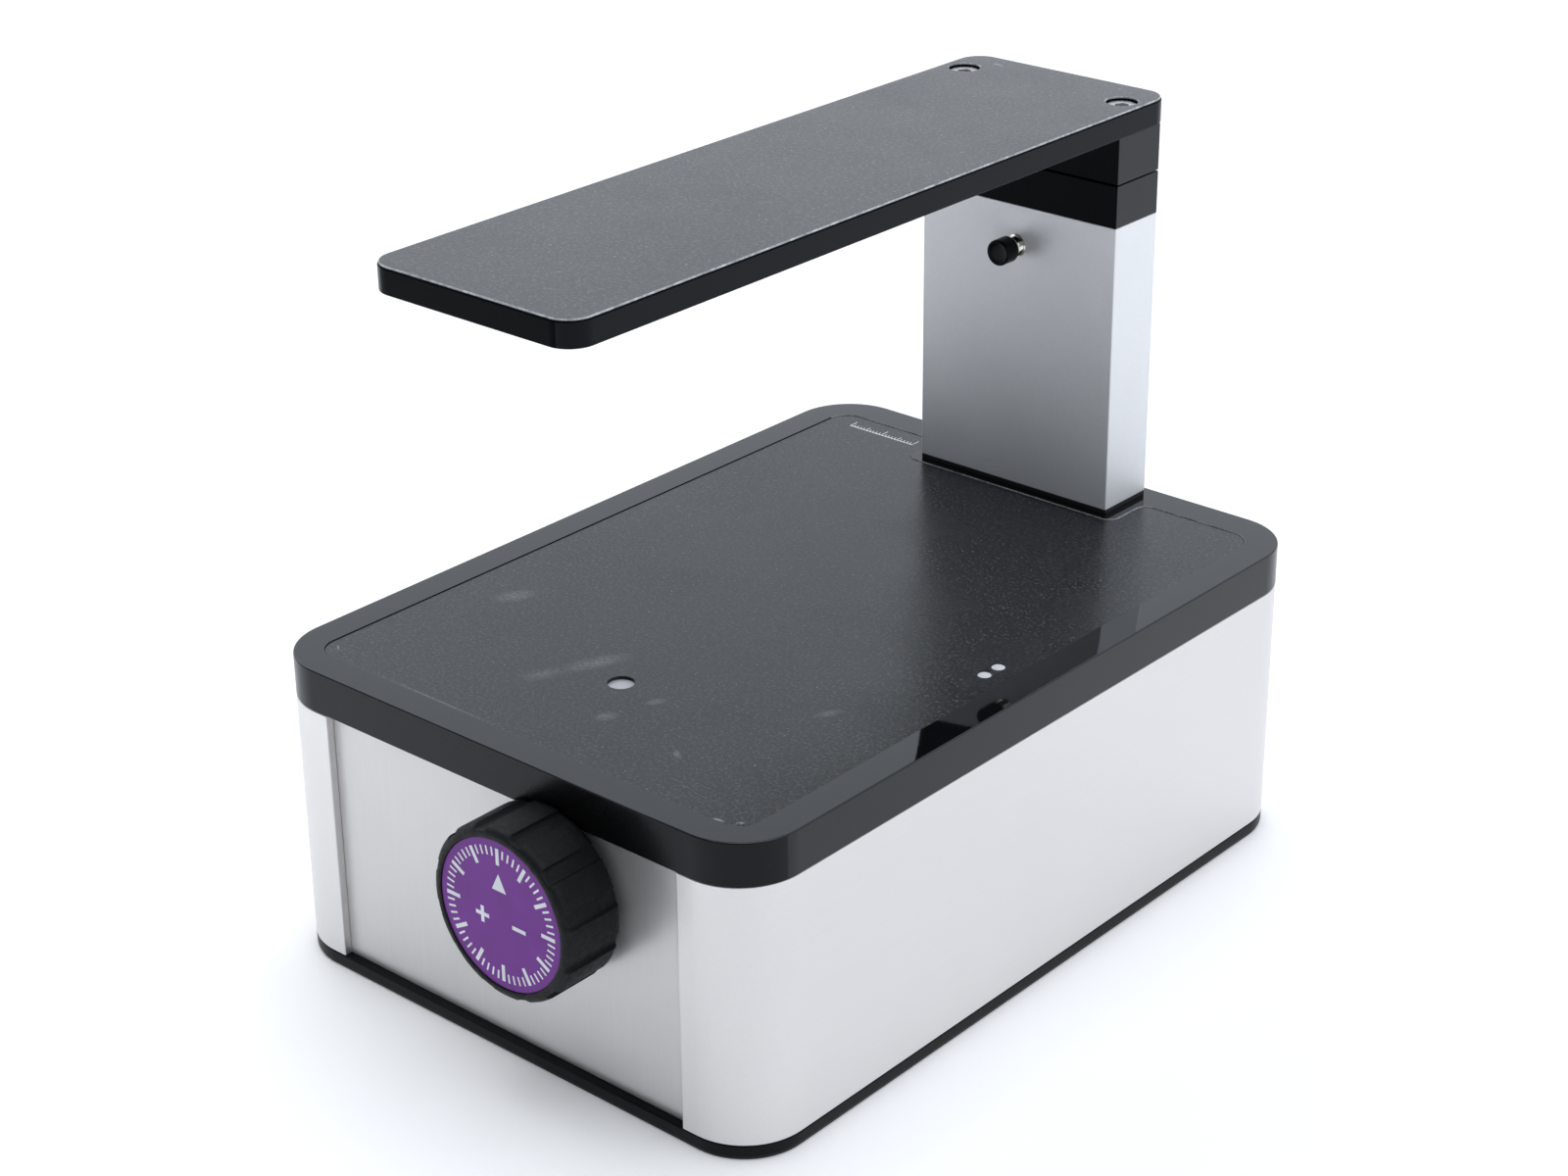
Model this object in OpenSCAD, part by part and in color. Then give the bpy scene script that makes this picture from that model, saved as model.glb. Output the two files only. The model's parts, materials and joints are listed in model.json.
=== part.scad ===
// Compact inverted digital microscope.
// +Z is up, the focus knob faces -Y, and the origin is the centre of the base's footprint, on the table.

/* [Base] */
// Width of the base, across the knob side
base_w = 140; // [136:1:146]
// Depth of the base, from the knob side to the post side
base_d = 195; // [192:1:202]
// Radius of the base's four upright corners
corner_r = 15; // [14:1:16]
// Thickness of the rubber mat under the base
mat_t = 0.6; // [0.5:0.1:1]
// Thickness of the base plate
plate_t = 3; // [2.5:0.5:4]
// Height of the metal shells and end panels
shell_h = 60; // [60:1:64]
// Wall thickness of the shells
wall_t = 2; // [1.5:0.5:2]
// Thickness of the front and rear panels
panel_t = 2; // [1.5:0.5:2]
// Half width of the gap between the shells, where the panels show
lip_x = 51; // [48:1:52]

/* [Stage] */
// Thickness of the deck
deck_t = 10; // [10:0.5:11]
// Thickness of the film stuck on the deck
film_t = 0.3; // [0.2:0.1:0.4]
// Diameter of the port that the objective looks through
port_d = 6; // [5:0.5:8]
// Distance of the port in front of the base's centre
port_out = 58.8; // [58:0.2:60]
// Diameter of a status light
light_d = 3; // [2:0.5:4]

/* [Post and arm] */
// Width of the post
post_w = 55.6; // [54:0.2:58]
// Thickness of the post, front to back
post_t = 16.2; // [16:0.1:17]
// Height of the post's metal section
post_h = 69.6; // [66:0.2:74]
// Height of the lower black block
base_block_h = 10; // [10:0.5:12]
// Height of the upper black block
head_block_h = 10.9; // [10:0.1:12]
// Thickness of the arm's plate
arm_t = 5.5; // [5.5:0.1:6]
// Width of the arm
arm_w = 56.4; // [56:0.2:60]
// Length of the arm
arm_l = 194.8; // [190:0.2:196]
// Corner radius of the arm
arm_r = 6; // [5:0.5:8]

/* [Focus drive] */
// Diameter of the focus knob
knob_d = 39; // [38:0.5:40]
// Length of the focus knob
knob_l = 15.1; // [15:0.1:18]
// Offset of the knob to the right of the centre
knob_x = 16.8; // [16.7:0.1:17.2]
// Teeth on each of the two pinions
pinion_teeth = 12; // [12]
// Teeth on the reduction gear
gear_teeth = 60; // [60]
// Module of the reduction gears
gear_m = 0.6; // [0.6]
// Module of the rack and its pinion
rack_m = 0.8; // [0.8]

/* [Hidden] */
ROUND = 64;
HEX = 6;
EPS = 0.01;
CUT = 1;
CLEAR = 0.05;

// heights
plate_z = mat_t;
shell_z = plate_z + plate_t;
deck_z = shell_z + shell_h;
stage_z = deck_z + deck_t;
pocket_h = 0.5;
pocket_z = stage_z - pocket_h;
film_top = pocket_z + film_t;
gasket_t = 1.2;
post_z = stage_z + gasket_t;
base_block_z = post_z + post_h;
swivel_gap = 0.3;
head_block_z = base_block_z + base_block_h + swivel_gap;
arm_z = head_block_z + head_block_h;
arm_film_t = 0.5;
arm_film_z = arm_z + arm_t;

// base
front_y = -base_d / 2;
panel_half = base_w / 2 - corner_r - 0.5;
panel_mid_y = base_d / 2 - wall_t - panel_t / 2;
pillar_x = 55;
pillar_y = 80;
pillar_r = 4;
mat_inset = 0.4;

// screws: shank radius, head radius, head height
M3 = [1.5, 2.75, 3];
M4 = [2, 3.5, 3.2];
CSK3 = [1.5, 3, 1.6];

// stage: the film lies in a shallow pocket, and its edge is a little way inside the pocket's
film_gap = 0.15;
film_half_x = 62.1;
film_front = 90.2;
film_back = 88.8;
film_r = 5.5;
notch_half_x = 31;
notch_y = 75.8;
notch_r = 3;
window_r = 7;
window_t = 1;
window_lip = 0.5;
window_z = pocket_z - window_lip - window_t;
lights = [[56.8, -6.7], [56.8, -1.9]];

// post
post_y = 85.75;
cavity_w = 26;
cavity_t = 10.2;
bolt_x = 21;
bolt_len = 14;
lead_hole_r = 4;

// swivel
pin_r = 4;
pin_bore_r = 2.5;
pin_foot = 0.6;
collar_r = 6;
collar_h = 2;
collar_seat_r = 6.5;
collar_seat_h = 2.9;

// arm
arm_screw_x = 22.5;
arm_screw_l = 10;
counterbore_r = 3.75;
counterbore_h = 3.5;
lamp_seat_r = 11;
lamp_seat_h = 3.2;
channel_w = 4;
channel_h = 2;
bezel_t = 0.8;
lens_t = 0.8;
led_t = 0.6;
led_w = 3.4;
condenser_r = 7;
lamp_board_t = 1;

// push button, along Y from the post's front face
button_z = base_block_z - 9.7;
face_y = post_y - post_t / 2;
bush_r = 2.4;
bush_out = 2;
bush_rim_r = 2.7;
bush_rim_t = 0.5;
bush_bore_r = 1.35;
cap_r = 3.1;
cap_l = 4.2;
cap_out = 7.55;
cap_hold = 1.6;
cap_bevel = 0.3;
dish_r = 10.5;
dish_h = 0.3;
plunger_r = bush_bore_r - CLEAR;
switch_w = 8;
switch_bore_r = 2;
plunger_end = face_y + 5.4;
post_wall = (post_t - cavity_t) / 2;
switch_floor_y = face_y + post_wall + switch_w - 0.5;

// focus drive
pressure_angle = 25;
backlash = 0.08;
shaft_r = 2.5;
layshaft_r = 2;
knob_z = 47.5;
knob_back = front_y - 0.3;
knob_front = knob_back - knob_l;
label_r = 17;
label_t = 0.5;
label_seat = 0.8;
groove_n = 12;
groove_w = 3.6;
groove_h = 0.9;
knob_bevel = 1;
knob_rim = 2;
shaft_depth = 5;
gear_w = 4;
gear_y = -82;
gear_z = knob_z - gear_m * (gear_teeth + pinion_teeth) / 2;
frame_front_y = -77;
frame_back_y = -55;
frame_t = 3;
frame_screw_len = 2;
rack_w = 8;
rack_y = -62;
rack_pitch = PI * rack_m;
rack_x = knob_x - rack_m * pinion_teeth / 2;
rack_foot_z = 14.5;
bush_wall = 1.5;

// carriage
opt = [0, -port_out];
rod_r = 2.5;
rod_x = 20;
rod_y = -45;
carriage_z = 35;
carriage_t = 8;
carriage_half = 28;
carriage_ys = [-71, -38];
rack_back = 3.4;
bush_out_z = 2;
rod_foot_r = 6;
rod_foot_h = 8;
rod_hold = 3;
barrel_r = 8;
barrel_bore_r = 5.5;
nose_foot_r = 6.5;
nose_r = 5;
nose_bore_r = 3.6;
barrel_foot_z = 44;
nose_z = 60;
barrel_top_z = 66.8;
camera_foot_z = 14;
camera_bore_r = 6.5;

// battery
cell_r = 9.2;
cell_l = 65;
cell_ys = [43, 64];
tray_margin = 11;
tray_floor = 1.5;
tray_wall = 2;
tray_h = 14;

// electronics
board_z = 12;
board_t = 1.6;
board_low = [-52, -16];
board_high = [36, 22];
board_corners = [[-48, -12], [32, -12], [-48, 18], [32, 18]];
chip_t = 1.2;
chips = [[-24, 2, 14, 14], [4, 6, 10, 10], [-44, 2, 8, 6], [22, -2, 6, 9]];
standoff_r = 3;
stud_out = 1.2;

// charging socket, in the rear panel
socket_x = -30;
socket_z = 14;
socket_w = 9;
socket_h = 3.2;
socket_l = 7;
socket_wall = 0.4;

// lead routes, from end to end
LEAD_R = 0.9;
POST_LEAD = [[0, 85.8, 144], [1, 85.8, 142.6], [5, 85.8, 141], [8, 85.8, 138], [8, 85.8, 130], [8, 85.8, 100],
    [8, 85.8, 90], [5, 85.8, 82], [1, 85.8, 76], [0, 85.8, 70], [0, 85.8, 62], [0, 84, 54], [0, 78, 47],
    [0, 66, 42], [0, 50, 39], [0, 34, 34], [0, 26, 27], [0, 22, 20], [0, 16, 15.2]];
ARM_LEAD = [[0, 85.8, 146], [0, 85.8, 164], [0, 85.8, 168], [0, 85.3, 169.4], [0, 84, 170.05],
    [0, 81, 170.15], [0, 60, 170.15], [0, -50, 170.15], [0, -56, 170.1], [0, -58.4, 169.7]];

// ---- shapes that repeat ----

// A rectangle with round corners, centred
module rounded(w, d, r) {
    square([w - 2 * r, d], center = true);
    square([w, d - 2 * r], center = true);
    for (sx = [-1, 1], sy = [-1, 1])
        translate([sx * (w / 2 - r), sy * (d / 2 - r)]) circle(r = r, $fn = ROUND);
}

// An upright cylinder from z0 to z1
module rod(x, y, z0, z1, r) {
    translate([x, y, z0]) cylinder(r = r, h = z1 - z0, $fn = ROUND);
}

// A cylinder along Y from y0 to y1
module y_rod(x, z, y0, y1, r) {
    translate([x, y1, z]) rotate([90, 0, 0]) cylinder(r = r, h = y1 - y0, $fn = ROUND);
}

// A box given by its lowest corner and its highest corner
module block(low, high) {
    translate(low) cube(high - low);
}

// A socket head screw: the head's seat is at z = 0 and the shank hangs down
module cap_screw(s, length) {
    difference() {
        union() {
            cylinder(r = s[1], h = s[2], $fn = ROUND);
            translate([0, 0, -length]) cylinder(r = s[0], h = length + EPS, $fn = ROUND);
        }
        translate([0, 0, s[2] * 0.4]) cylinder(r = s[0] * 0.87, h = s[2], $fn = HEX);
    }
}

// A countersunk screw: the head's top is at z = 0 and the shank hangs down
module csk_screw(s, length) {
    difference() {
        union() {
            translate([0, 0, -s[2]]) cylinder(r1 = s[0], r2 = s[1], h = s[2], $fn = ROUND);
            translate([0, 0, -length]) cylinder(r = s[0], h = length - s[2] + EPS, $fn = ROUND);
        }
        translate([0, 0, -s[2] * 0.7]) cylinder(r = s[0] * 0.7, h = s[2], $fn = HEX);
    }
}

// The hole that a countersunk screw fills, with its mouth at z = 0
module csk_hole(s, length) {
    translate([0, 0, -s[2]]) cylinder(r1 = s[0], r2 = s[1], h = s[2], $fn = ROUND);
    translate([0, 0, -EPS]) cylinder(r = s[1], h = CUT, $fn = ROUND);
    translate([0, 0, -length]) cylinder(r = s[0], h = length, $fn = ROUND);
}

// The four places where a pillar ties the base plate to the deck
module at_pillars() {
    for (sx = [-1, 1], sy = [-1, 1]) translate([sx * pillar_x, sy * pillar_y, 0]) children();
}

// Copies at -x and +x on the post's centre line
module at_post(x) {
    for (sx = [-1, 1]) translate([sx * x, post_y, 0]) children();
}

// The two places where the gear frame is screwed to the base plate
module at_frame_screws() {
    for (y = [frame_front_y + 5, frame_back_y - 8]) translate([knob_x + 9, y, 0]) children();
}

// A round tube swept along a list of points that never turns back on itself
function unit(v) = v / norm(v);
function heading(p, i) = unit(p[min(i + 1, len(p) - 1)] - p[max(i - 1, 0)]);
function side(t) = unit(cross(t, abs(t[0]) > 0.9 ? [0, 1, 0] : [1, 0, 0]));
module sweep(p, r, sides) {
    n = len(p);
    ring = [for (i = [0:n - 1], k = [0:sides - 1])
        let (t = heading(p, i), u = side(t), v = cross(t, u), a = 360 * k / sides)
        p[i] + r * cos(a) * u + r * sin(a) * v];
    wall = [for (i = [0:n - 2], k = [0:sides - 1])
        let (a = i * sides + k, b = i * sides + (k + 1) % sides)
        [a, a + sides, b + sides, b]];
    ends = [[for (k = [0:sides - 1]) k], [for (k = [sides - 1:-1:0]) (n - 1) * sides + k]];
    polyhedron(points = ring, faces = concat(wall, ends));
}

// Involute gear outline: half a tooth's angle at radius r, and the points of all teeth
function rad_tan(a) = tan(a) * 180 / PI - a;
function tooth_half(n, m, r) = let (rp = n * m / 2)
    90 / n - backlash * 90 / (PI * rp) + rad_tan(pressure_angle)
    - rad_tan(acos(min(1, rp * cos(pressure_angle) / r)));
function polar(r, a) = [r * cos(a), r * sin(a)];
function gear_points(n, m, turn) = let (
    rp = n * m / 2,
    rb = rp * cos(pressure_angle),
    rf = rp - 1.25 * m,
    r0 = max(rb, rf + 0.05),
    radii = [for (k = [0:4]) r0 + (rp + m - r0) * k / 4])
    [for (k = [0:n - 1]) let (a = turn + 360 * k / n) each concat(
        [polar(rf, a - tooth_half(n, m, r0))],
        [for (r = radii) polar(r, a - tooth_half(n, m, r))],
        [for (i = [4:-1:0]) polar(radii[i], a + tooth_half(n, m, radii[i]))],
        [polar(rf, a + tooth_half(n, m, r0))])];

// A gear on an axis along Y, from y to y + w
module y_gear(n, m, turn, x, y, z, w, bore) {
    translate([x, y + w, z]) rotate([90, 0, 0]) linear_extrude(w) difference() {
        polygon(gear_points(n, m, turn));
        circle(r = bore, $fn = ROUND);
    }
}

// ---- base ----

module foot_mat() color("#1c1c1c")
    linear_extrude(mat_t) rounded(base_w - 2 * mat_inset, base_d - 2 * mat_inset, corner_r - mat_inset);

module base_plate() color("#181818") difference() {
    translate([0, 0, plate_z]) linear_extrude(plate_t) rounded(base_w, base_d, corner_r);
    at_pillars() translate([0, 0, plate_z]) mirror([0, 0, 1]) csk_hole(CSK3, plate_t + CUT);
    at_frame_screws() rod(0, 0, shell_z - frame_screw_len, shell_z + CUT, M3[0]);
}

module base_screws() color("silver")
    at_pillars() translate([0, 0, plate_z]) mirror([0, 0, 1]) csk_screw(CSK3, 12);

module shell_ring() linear_extrude(shell_h) difference() {
    rounded(base_w, base_d, corner_r);
    rounded(base_w - 2 * wall_t, base_d - 2 * wall_t, corner_r - wall_t);
    square([2 * lip_x, base_d + 2], center = true);
}

module left_shell() color("#dedee2") translate([0, 0, shell_z]) intersection() {
    shell_ring();
    block([-base_w, -base_d, -CUT], [0, base_d, shell_h + CUT]);
}

module right_shell() color("#dedee2") translate([0, 0, shell_z]) intersection() {
    shell_ring();
    block([0, -base_d, -CUT], [base_w, base_d, shell_h + CUT]);
}

module end_panel(y)
    translate([0, y, shell_z + shell_h / 2]) cube([2 * panel_half, panel_t, shell_h], center = true);

// A block centred on the charging socket, from y0 to y1, with its sides moved out by grow
module socket_block(y0, y1, grow)
    block([socket_x - socket_w / 2 - grow, y0, socket_z - socket_h / 2 - grow],
        [socket_x + socket_w / 2 + grow, y1, socket_z + socket_h / 2 + grow]);

module front_panel() color("#cdcfcd") difference() {
    end_panel(-panel_mid_y);
    y_rod(knob_x, knob_z, front_y - CUT, front_y + 8, shaft_r + CLEAR + bush_wall);
}

module rear_panel() color("#cdcfcd") difference() {
    end_panel(panel_mid_y);
    socket_block(panel_mid_y - panel_t, panel_mid_y + panel_t, 0);
}

module charge_socket() color("#b4b4b4") difference() {
    mouth_y = panel_mid_y + panel_t / 2;
    socket_block(mouth_y - socket_l, mouth_y, 0);
    socket_block(mouth_y - socket_l + 2, mouth_y + CUT, -socket_wall);
}

module pillars() color("silver") at_pillars() difference() {
    rod(0, 0, shell_z, deck_z, pillar_r);
    rod(0, 0, shell_z - CUT, shell_z + 12 - plate_t, M3[0]);
    rod(0, 0, deck_z - 8, deck_z + CUT, M3[0]);
}

// ---- stage ----

module deck() color("#202224") difference() {
    translate([0, 0, deck_z]) linear_extrude(deck_t) rounded(base_w, base_d, corner_r);
    rod(opt[0], opt[1], deck_z - CUT, stage_z + CUT, port_d / 2);
    rod(opt[0], opt[1], deck_z - CUT, window_z + window_t, window_r);
    for (p = lights) rod(p[0], p[1], deck_z - CUT, stage_z + CUT, light_d / 2);
    translate([0, 0, pocket_z]) linear_extrude(pocket_h + CUT) film_outline(0);
    at_pillars() translate([0, 0, pocket_z]) csk_hole(CSK3, deck_t + CUT);
    rod(0, post_y, deck_z - CUT, stage_z + CUT, lead_hole_r);
    at_post(bolt_x) rod(0, 0, deck_z - CUT, stage_z + CUT, M4[0]);
    at_post(bolt_x) rod(0, 0, deck_z - CUT, deck_z + M4[2] + 0.8, M4[1]);
    for (sx = [-1, 1]) rod(sx * rod_x, rod_y, deck_z - CUT, deck_z + rod_hold, rod_r);
}

module deck_screws() color("silver")
    at_pillars() translate([0, 0, pocket_z]) csk_screw(CSK3, pocket_z - deck_z + 8);

// The outline of the film's pocket, notched round the post's foot, with its edge moved in by inset
module film_outline(inset) {
    mouth = notch_half_x + inset;
    foot = notch_y - inset;
    back = film_back - inset;
    foot_r = notch_r + inset;
    mouth_r = notch_r - inset;
    difference() {
        translate([0, (film_back - film_front) / 2])
            rounded(2 * (film_half_x - inset), film_front + film_back - 2 * inset, film_r - inset);
        translate([-mouth, foot + foot_r]) square([2 * mouth, film_back]);
        translate([-mouth + foot_r, foot]) square([2 * (mouth - foot_r), film_back]);
        translate([-mouth - mouth_r, back - mouth_r]) square([2 * (mouth + mouth_r), film_back]);
        for (sx = [-1, 1]) translate([sx * (mouth - foot_r), foot + foot_r]) circle(r = foot_r, $fn = ROUND);
    }
    for (sx = [-1, 1]) translate([sx * (mouth + mouth_r), back - mouth_r]) circle(r = mouth_r, $fn = ROUND);
}

module stage_film() color("#45474a") translate([0, 0, pocket_z]) linear_extrude(film_t) difference() {
    film_outline(film_gap);
    translate(opt) circle(r = port_d / 2, $fn = ROUND);
    for (p = lights) translate(p) circle(r = light_d / 2, $fn = ROUND);
}

module port_window() color("#e8eaf0") rod(opt[0], opt[1], window_z, window_z + window_t, window_r);

module status_lights() color("#f0f0f4") for (p = lights) rod(p[0], p[1], deck_z - 2, film_top, light_d / 2);

// ---- post ----

module post_section() translate([0, post_y]) square([post_w, post_t], center = true);

module post_gasket() color("#101010") translate([0, 0, stage_z]) linear_extrude(gasket_t) difference() {
    post_section();
    translate([0, post_y]) circle(r = lead_hole_r, $fn = ROUND);
    for (sx = [-1, 1]) translate([sx * bolt_x, post_y]) circle(r = M4[0], $fn = ROUND);
}

module post() color("#c8ccd2") difference() {
    translate([0, 0, post_z]) linear_extrude(post_h) difference() {
        post_section();
        translate([0, post_y]) square([cavity_w, cavity_t], center = true);
    }
    at_post(bolt_x) rod(0, 0, post_z - CUT, post_z + bolt_len, M4[0]);
    at_post(bolt_x) rod(0, 0, base_block_z - bolt_len, base_block_z + CUT, M3[0]);
    y_rod(0, button_z, face_y - CUT, face_y + post_wall + CUT, bush_r);
}

module post_bolts() color("silver")
    at_post(bolt_x) translate([0, 0, deck_z + M4[2] + 0.8]) mirror([0, 0, 1])
        cap_screw(M4, post_z + bolt_len - deck_z - M4[2] - 0.8);

module swivel_base() color("#161616") difference() {
    translate([0, 0, base_block_z]) linear_extrude(base_block_h) post_section();
    rod(0, post_y, base_block_z - CUT, head_block_z, pin_r + CLEAR);
    rod(0, post_y, base_block_z - CUT, base_block_z + collar_seat_h, collar_seat_r);
    at_post(bolt_x) translate([0, 0, base_block_z + base_block_h]) csk_hole(CSK3, base_block_h + CUT);
}

module swivel_base_screws() color("silver")
    at_post(bolt_x) translate([0, 0, base_block_z + base_block_h]) csk_screw(CSK3, base_block_h + 10);

module post_lead() color("#262626") sweep(POST_LEAD, LEAD_R, 8);

// ---- push button ----

module switch_bush() color("#c9ccd0") difference() {
    union() {
        y_rod(0, button_z, face_y - bush_out, face_y + post_wall, bush_r);
        y_rod(0, button_z, face_y - bush_rim_t, face_y, bush_rim_r);
    }
    y_rod(0, button_z, face_y - bush_out - CUT, face_y + post_wall + CUT, bush_bore_r);
}

module switch_body() color("#1d2733") difference() {
    translate([0, face_y + post_wall + switch_w / 2, button_z]) cube(switch_w, center = true);
    y_rod(0, button_z, face_y + post_wall - CUT, switch_floor_y, switch_bore_r);
}

module button_cap() color("#0e0e0e") difference() {
    front = face_y - cap_out;
    union() {
        y_rod(0, button_z, front + cap_bevel, front + cap_l, cap_r);
        translate([0, front + cap_bevel, button_z]) rotate([90, 0, 0])
            cylinder(r1 = cap_r, r2 = cap_r - cap_bevel, h = cap_bevel, $fn = ROUND);
    }
    y_rod(0, button_z, front + cap_hold, face_y, plunger_r);
    translate([0, front + dish_h - dish_r, button_z]) sphere(r = dish_r, $fn = ROUND);
}

module button_plunger() color("#e0e0e0")
    y_rod(0, button_z, face_y - cap_out + cap_hold, plunger_end, plunger_r);

module return_spring() color("silver") {
    turns = 4;
    steps = 10;
    coil_r = 1.35;
    wire_r = 0.2;
    start = plunger_end + 2 * wire_r;
    length = switch_floor_y - 2 * wire_r - start;
    sweep([for (i = [0:turns * steps]) let (a = 360 * i / steps)
        [coil_r * cos(a), start + length * i / (turns * steps), button_z + coil_r * sin(a)]], wire_r, HEX);
}

// ---- focus knob and gears ----

module focus_bush() color("#b98d4a") difference() {
    union() {
        y_rod(knob_x, knob_z, front_y + 1, front_y + 9, shaft_r + CLEAR + bush_wall);
        y_rod(knob_x, knob_z, front_y + wall_t + panel_t, front_y + wall_t + panel_t + 1.5, 7);
    }
    y_rod(knob_x, knob_z, front_y, front_y + 10, shaft_r + CLEAR);
}

module knob_end() cylinder(r1 = knob_d / 2, r2 = knob_d / 2 - knob_bevel, h = knob_bevel, $fn = ROUND);

module focus_knob() color("#141414") difference() {
    union() {
        y_rod(knob_x, knob_z, knob_front + knob_bevel, knob_back - knob_bevel, knob_d / 2);
        translate([knob_x, knob_front + knob_bevel, knob_z]) rotate([90, 0, 0]) knob_end();
        translate([knob_x, knob_back - knob_bevel, knob_z]) rotate([-90, 0, 0]) knob_end();
    }
    y_rod(knob_x, knob_z, knob_front - CUT, knob_front + label_seat, label_r);
    y_rod(knob_x, knob_z, knob_front + shaft_depth, knob_back + CUT, shaft_r);
    for (k = [0:groove_n - 1]) translate([knob_x, knob_back + CUT, knob_z])
        rotate([90, 360 * (k + 0.5) / groove_n, 0])
            translate([knob_d / 2 - groove_h, -groove_w / 2, 0]) cube([2, groove_w, knob_l - knob_rim + CUT]);
}

module knob_label() color("#753c9e")
    y_rod(knob_x, knob_z, knob_front + label_seat - label_t, knob_front + label_seat, label_r);

module knob_shaft() color("silver") y_rod(knob_x, knob_z, knob_front + shaft_depth, frame_front_y, shaft_r);

module knob_pinion() color("#d4b26a")
    y_gear(pinion_teeth, gear_m, -90, knob_x, gear_y - gear_w - 0.5, knob_z, gear_w + 1, shaft_r);

module reduction_gear() color("#d8d4c4")
    y_gear(gear_teeth, gear_m, 90 + 180 / gear_teeth, knob_x, gear_y - gear_w, gear_z, gear_w, layshaft_r);

module layshaft() color("silver") y_rod(knob_x, gear_z, gear_y - gear_w - 2, frame_back_y + 1, layshaft_r);

module rack_pinion() color("#d4b26a")
    y_gear(pinion_teeth, rack_m, 180, knob_x, rack_y - rack_w, gear_z, rack_w, layshaft_r);

module gear_frame() color("#9aa0a6") difference() {
    union() {
        block([knob_x - 5, frame_front_y - frame_t, shell_z], [knob_x + 12, frame_back_y, shell_z + frame_t]);
        block([knob_x - 8, frame_front_y - frame_t, shell_z], [knob_x + 12, frame_front_y, knob_z + 7]);
        block([knob_x - 5, frame_back_y - frame_t, shell_z], [knob_x + 9, frame_back_y, gear_z + 5.6]);
    }
    y_rod(knob_x, knob_z, frame_front_y - frame_t - CUT, frame_front_y + CUT, shaft_r + CLEAR);
    y_rod(knob_x, gear_z, frame_front_y - frame_t - CUT, frame_back_y + CUT, layshaft_r + CLEAR + 1);
    at_frame_screws() rod(0, 0, shell_z - CUT, shell_z + frame_t + CUT, M3[0]);
}

module frame_screws() color("silver")
    at_frame_screws() translate([0, 0, shell_z + frame_t]) cap_screw(M3, frame_t + frame_screw_len);

module layshaft_bushes() color("#b98d4a") for (y = [frame_front_y, frame_back_y]) difference() {
    y_rod(knob_x, gear_z, y - frame_t, y, layshaft_r + CLEAR + 1);
    y_rod(knob_x, gear_z, y - frame_t - CUT, y + CUT, layshaft_r + CLEAR);
}

// ---- focus carriage ----

module carriage() color("#3a3d42") difference() {
    low = carriage_z - CUT;
    high = carriage_z + carriage_t + CUT;
    block([-carriage_half, carriage_ys[0], carriage_z],
        [carriage_half, carriage_ys[1], carriage_z + carriage_t]);
    rod(opt[0], opt[1], low, high, barrel_r);
    for (sx = [-1, 1]) rod(sx * rod_x, rod_y, low, high, rod_r + CLEAR + bush_wall);
    block([rack_x - rack_back, rack_y - rack_w - CUT, low], [carriage_half + CUT, rack_y, high]);
}

// The rack: a gap faces the pinion's centre at rest
module focus_rack() color("#c8a860") {
    half = rack_pitch / 4 - backlash / 2;
    slope = tan(pressure_angle);
    tip = rack_x + rack_m;
    root = rack_x - 1.25 * rack_m;
    back = rack_x - rack_back;
    teeth = [for (k = [-4:3]) let (z = gear_z + (k + 0.5) * rack_pitch) each [
        [root, z - half - 1.25 * rack_m * slope],
        [tip, z - half + rack_m * slope],
        [tip, z + half - rack_m * slope],
        [root, z + half + 1.25 * rack_m * slope]]];
    translate([0, rack_y, 0]) rotate([90, 0, 0]) linear_extrude(rack_w)
        polygon(concat([[back, rack_foot_z], [root, rack_foot_z]], teeth,
            [[root, carriage_z + carriage_t], [back, carriage_z + carriage_t]]));
}

module guide_bushes() color("#b98d4a") for (sx = [-1, 1]) difference() {
    low = carriage_z - bush_out_z;
    high = carriage_z + carriage_t + bush_out_z;
    rod(sx * rod_x, rod_y, low, high, rod_r + CLEAR + bush_wall);
    rod(sx * rod_x, rod_y, low - CUT, high + CUT, rod_r + CLEAR);
}

module guide_rods() color("silver")
    for (sx = [-1, 1]) rod(sx * rod_x, rod_y, shell_z, deck_z + rod_hold, rod_r);

module rod_feet() color("#9aa0a6") for (sx = [-1, 1]) difference() {
    rod(sx * rod_x, rod_y, shell_z, shell_z + rod_foot_h, rod_foot_r);
    rod(sx * rod_x, rod_y, shell_z - CUT, shell_z + rod_foot_h + CUT, rod_r);
}

module objective_barrel() color("#2a2a2c") difference() {
    union() {
        rod(opt[0], opt[1], barrel_foot_z - 5, nose_z, barrel_r);
        translate([opt[0], opt[1], nose_z])
            cylinder(r1 = nose_foot_r, r2 = nose_r, h = barrel_top_z - nose_z, $fn = ROUND);
    }
    rod(opt[0], opt[1], barrel_foot_z - 6, nose_z - 2, barrel_bore_r);
    rod(opt[0], opt[1], nose_z - 3, barrel_top_z + CUT, nose_bore_r);
}

module objective_lens() color("#a8c4e0") rod(opt[0], opt[1], nose_z, barrel_top_z - 0.6, nose_bore_r);

module camera_tube() color("#202022") difference() {
    rod(opt[0], opt[1], camera_foot_z, barrel_foot_z - 5, barrel_r);
    rod(opt[0], opt[1], camera_foot_z - CUT, barrel_foot_z, camera_bore_r);
}

module camera_board() color("#1c5a34") {
    block([-11, opt[1] - 11, camera_foot_z - 1.6], [11, opt[1] + 11, camera_foot_z]);
    block([-3, opt[1] - 3, camera_foot_z], [3, opt[1] + 3, camera_foot_z + 1]);
}

// ---- electronics ----

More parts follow.
